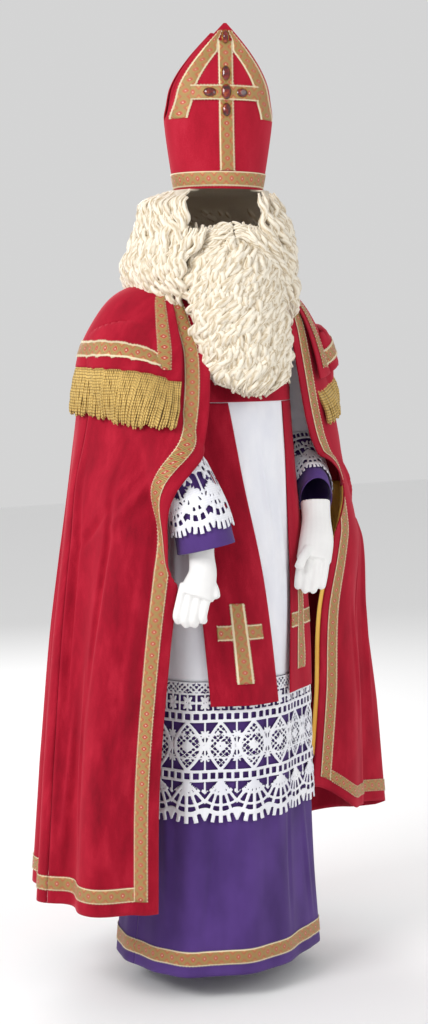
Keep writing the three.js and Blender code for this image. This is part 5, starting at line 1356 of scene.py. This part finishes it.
# The moustache: wavy locks that run from a middle parting out and down over the beard.
strands = []
for sign in (1, -1):
    for k in range(11):
        jitter = randomly.uniform(-1, 1, 4)
        t = np.linspace(0, 1, 26)
        place = sign * (0.02 + 0.76 * t)
        rise = 1646 - 3.0 * k - 24 * t ** 1.7 - 4 * jitter[0] * t + 4.0 * np.sin(t * 9 + jitter[1] * 2)
        out = 5 + 8 * np.sin(np.pi * (0.15 + 0.8 * t)) + 3 * np.sin(t * 11 + jitter[2] * 3)
        out = out - 0.12 * (k - 5) ** 2
        radii = 5.2 * (0.6 + 0.4 * np.sin(np.pi * t)) * (1 - 0.6 * smoothStep(t, 0.8, 1))
        strands.append(tubeParts(beardPoint(place, rise, out), radii, 7, 3, 0.16, 2.5, jitter[3] * 3))
piece = partsMesh("moustache", strands, "curledFibre")
settle(piece, "curly_hair", "moustache")
print("moustache made")

# Gloves
gloves = {
    "right": {
        "palm": [(-173, -184, 1004, 30, 26), (-176, -191.5, 968, 26, 22), (-179, -203, 932, 29, 20),
                 (-197, -202, 886, 38, 19)],
        "knuckle": (-198, -201, 895), "bend": (-212, -199, 842), "tip": (-200, -191, 826),
        "thumb": [(-171, -208, 926), (-162, -220, 898), (-162, -223, 880)]},
    "left": {
        "palm": [(180, -114, 1052, 33, 27), (172, -129, 1016, 31, 24), (152, -156, 972, 38, 21),
                 (130, -174, 932, 38, 19)],
        "knuckle": (134, -171, 942), "bend": (110, -190, 896), "tip": (102, -194, 868),
        "thumb": [(122, -166, 958), (92, -182, 938), (78, -186, 918)]},
    "finger": 9.5, "cloth": 1.4, "voxel": 0.0022,
}


# Stacked rings round a path, closed by a rounded end.
def ringStack(path, wides, deeps, sides=16):
    path = np.asarray(path, float)
    along = unit(np.gradient(path, axis=0))
    first = unit(acrossView[None] - (along @ acrossView)[:, None] * along)
    second = np.cross(along, first)
    turn = np.linspace(0, 2 * np.pi, sides, endpoint=False)
    rings = (path[:, None] + first[:, None] * (np.cos(turn)[None, :, None] * np.asarray(wides)[:, None, None])
             + second[:, None] * (np.sin(turn)[None, :, None] * np.asarray(deeps)[:, None, None]))
    count = len(path)
    vertices = rings.reshape(-1, 3)
    faces = [tuple(int(v) for v in (i * sides + j, i * sides + (j + 1) % sides,
                                    (i + 1) * sides + (j + 1) % sides, (i + 1) * sides + j))
             for i in range(count - 1) for j in range(sides)]
    faces.append(tuple(range(sides))[::-1])
    faces.append(tuple(range((count - 1) * sides, count * sides)))
    return vertices, faces, np.zeros((len(vertices), 2))


def smoothRoute(nodes, count):
    nodes = np.asarray(nodes, float)
    keys = np.linspace(0, 1, len(nodes))
    t = np.linspace(0, 1, count)
    route = np.stack([np.interp(t, keys, nodes[:, c]) for c in range(nodes.shape[1])], axis=1)
    for smoothing in range(2):
        route[1:-1] = (route[:-2] + 2 * route[1:-1] + route[2:]) / 4
    return route


def roundedEnds(radius, count):
    t = np.linspace(0, 1, count)
    return radius * np.sqrt(np.clip(1 - np.clip((t - 0.88) / 0.125, 0, 1) ** 2, 0.04, 1))


for side in ("right", "left"):
    glove = gloves[side]
    route = smoothRoute(glove["palm"], 16)
    parts = [ringStack(route[:, :3], route[:, 3], route[:, 4], 20)]
    for k, place in enumerate((-1.5, -0.5, 0.5, 1.5)):
        shift = acrossView * place * gloves["finger"] * 1.9
        longer = 1.0 + (0.05 if k in (1, 2) else -0.06)
        start, bend, tip = (np.array(glove[name], float) for name in ("knuckle", "bend", "tip"))
        nodes = [start + shift + (start - bend) * 0.35, start + shift,
                 start + (bend - start) * longer + shift, start + (tip - start) * longer + shift * 0.92]
        finger = smoothRoute(nodes, 18)
        size = roundedEnds(gloves["finger"] * (0.98 - 0.04 * abs(place)), 18)
        parts.append(ringStack(finger, size, size, 12))
    thumb = smoothRoute(glove["thumb"], 12)
    size = roundedEnds(gloves["finger"] + 0.6, 12)
    parts.append(ringStack(thumb, size, size, 12))
    piece = partsMesh("glove" + side.title(), parts, "gloveJersey")
    aboveCuff = tuple(np.array(glove["palm"][0], float) + (0, 0, 14, 0, 0))
    hollowRoute = smoothRoute([aboveCuff] + glove["palm"][:3], 12)
    hollow = partsMesh("hollow" + side.title(), [ringStack(
        hollowRoute[:, :3], hollowRoute[:, 3] - gloves["cloth"], hollowRoute[:, 4] - gloves["cloth"], 20)],
        "gloveJersey")
    remesh = piece.modifiers.new("jersey", "REMESH")
    remesh.mode, remesh.voxel_size, remesh.use_smooth_shade = "VOXEL", gloves["voxel"], True
    softer = piece.modifiers.new("softer", "SMOOTH")
    softer.factor, softer.iterations = 0.5, 6
    cut = piece.modifiers.new("cuff", "BOOLEAN")
    cut.operation, cut.object, cut.solver = "DIFFERENCE", hollow, "EXACT"
    bpy.context.view_layer.update()
    evaluated = piece.evaluated_get(bpy.context.evaluated_depsgraph_get())
    made = bpy.data.meshes.new_from_object(evaluated)
    piece.modifiers.clear()
    piece.data = made
    bpy.data.objects.remove(hollow)
    # UVs in millimetres from the glove's own width and height, so the jersey keeps its size.
    spots = np.empty(len(made.vertices) * 3)
    made.vertices.foreach_get("co", spots)
    spots = spots.reshape(-1, 3) * 1000
    flat = np.stack([spots @ acrossView, spots[:, 2]], axis=1)
    layer = made.uv_layers[0] if made.uv_layers else made.uv_layers.new(name="UVMap")
    corners = np.empty(len(made.loops), dtype=np.int32)
    made.loops.foreach_get("vertex_index", corners)
    layer.data.foreach_set("uv", flat[corners].astype(np.float32).ravel())
    settle(piece, "glove_cotton", "glove_" + side)
    print("glove faces", len(made.polygons))

# The floor
floorMaterial, floorTree = newMaterial("paintedFloor")
floorNoise = addNode(floorTree, "ShaderNodeTexNoise", {"Scale": 3.0, "Detail": 2.0})
floorRamp = addNode(floorTree, "ShaderNodeValToRGB", {"Fac": floorNoise.outputs["Fac"]})
floorColour = setStops(floorRamp, [(0.0, "#f4f4f4"), (1.0, "#f8f8f8")])
finished(floorTree, addNode(floorTree, "ShaderNodeBsdfPrincipled", {"Base Color": floorColour,
                                                                    "Roughness": 0.9}))
floorMesh = bpy.data.meshes.new("studioFloor")
floorMesh.from_pydata([(-9, -9, -neck[2] / 1000), (9, -9, -neck[2] / 1000), (9, 9, -neck[2] / 1000),
                       (-9, 9, -neck[2] / 1000)], [], [(0, 1, 2, 3)])
floorMesh.materials.append(floorMaterial)
floor = bpy.data.objects.new("studioFloor", floorMesh)
bpy.context.scene.collection.objects.link(floor)
world = bpy.data.worlds.new("studioWorld")
world.use_nodes = True
world.node_tree.nodes["Background"].inputs["Color"].default_value = (1.0, 1.0, 1.0, 1.0)
world.node_tree.nodes["Background"].inputs["Strength"].default_value = 0.66
bpy.context.scene.world = world
print("flat cuts", json.dumps(cutSizes))
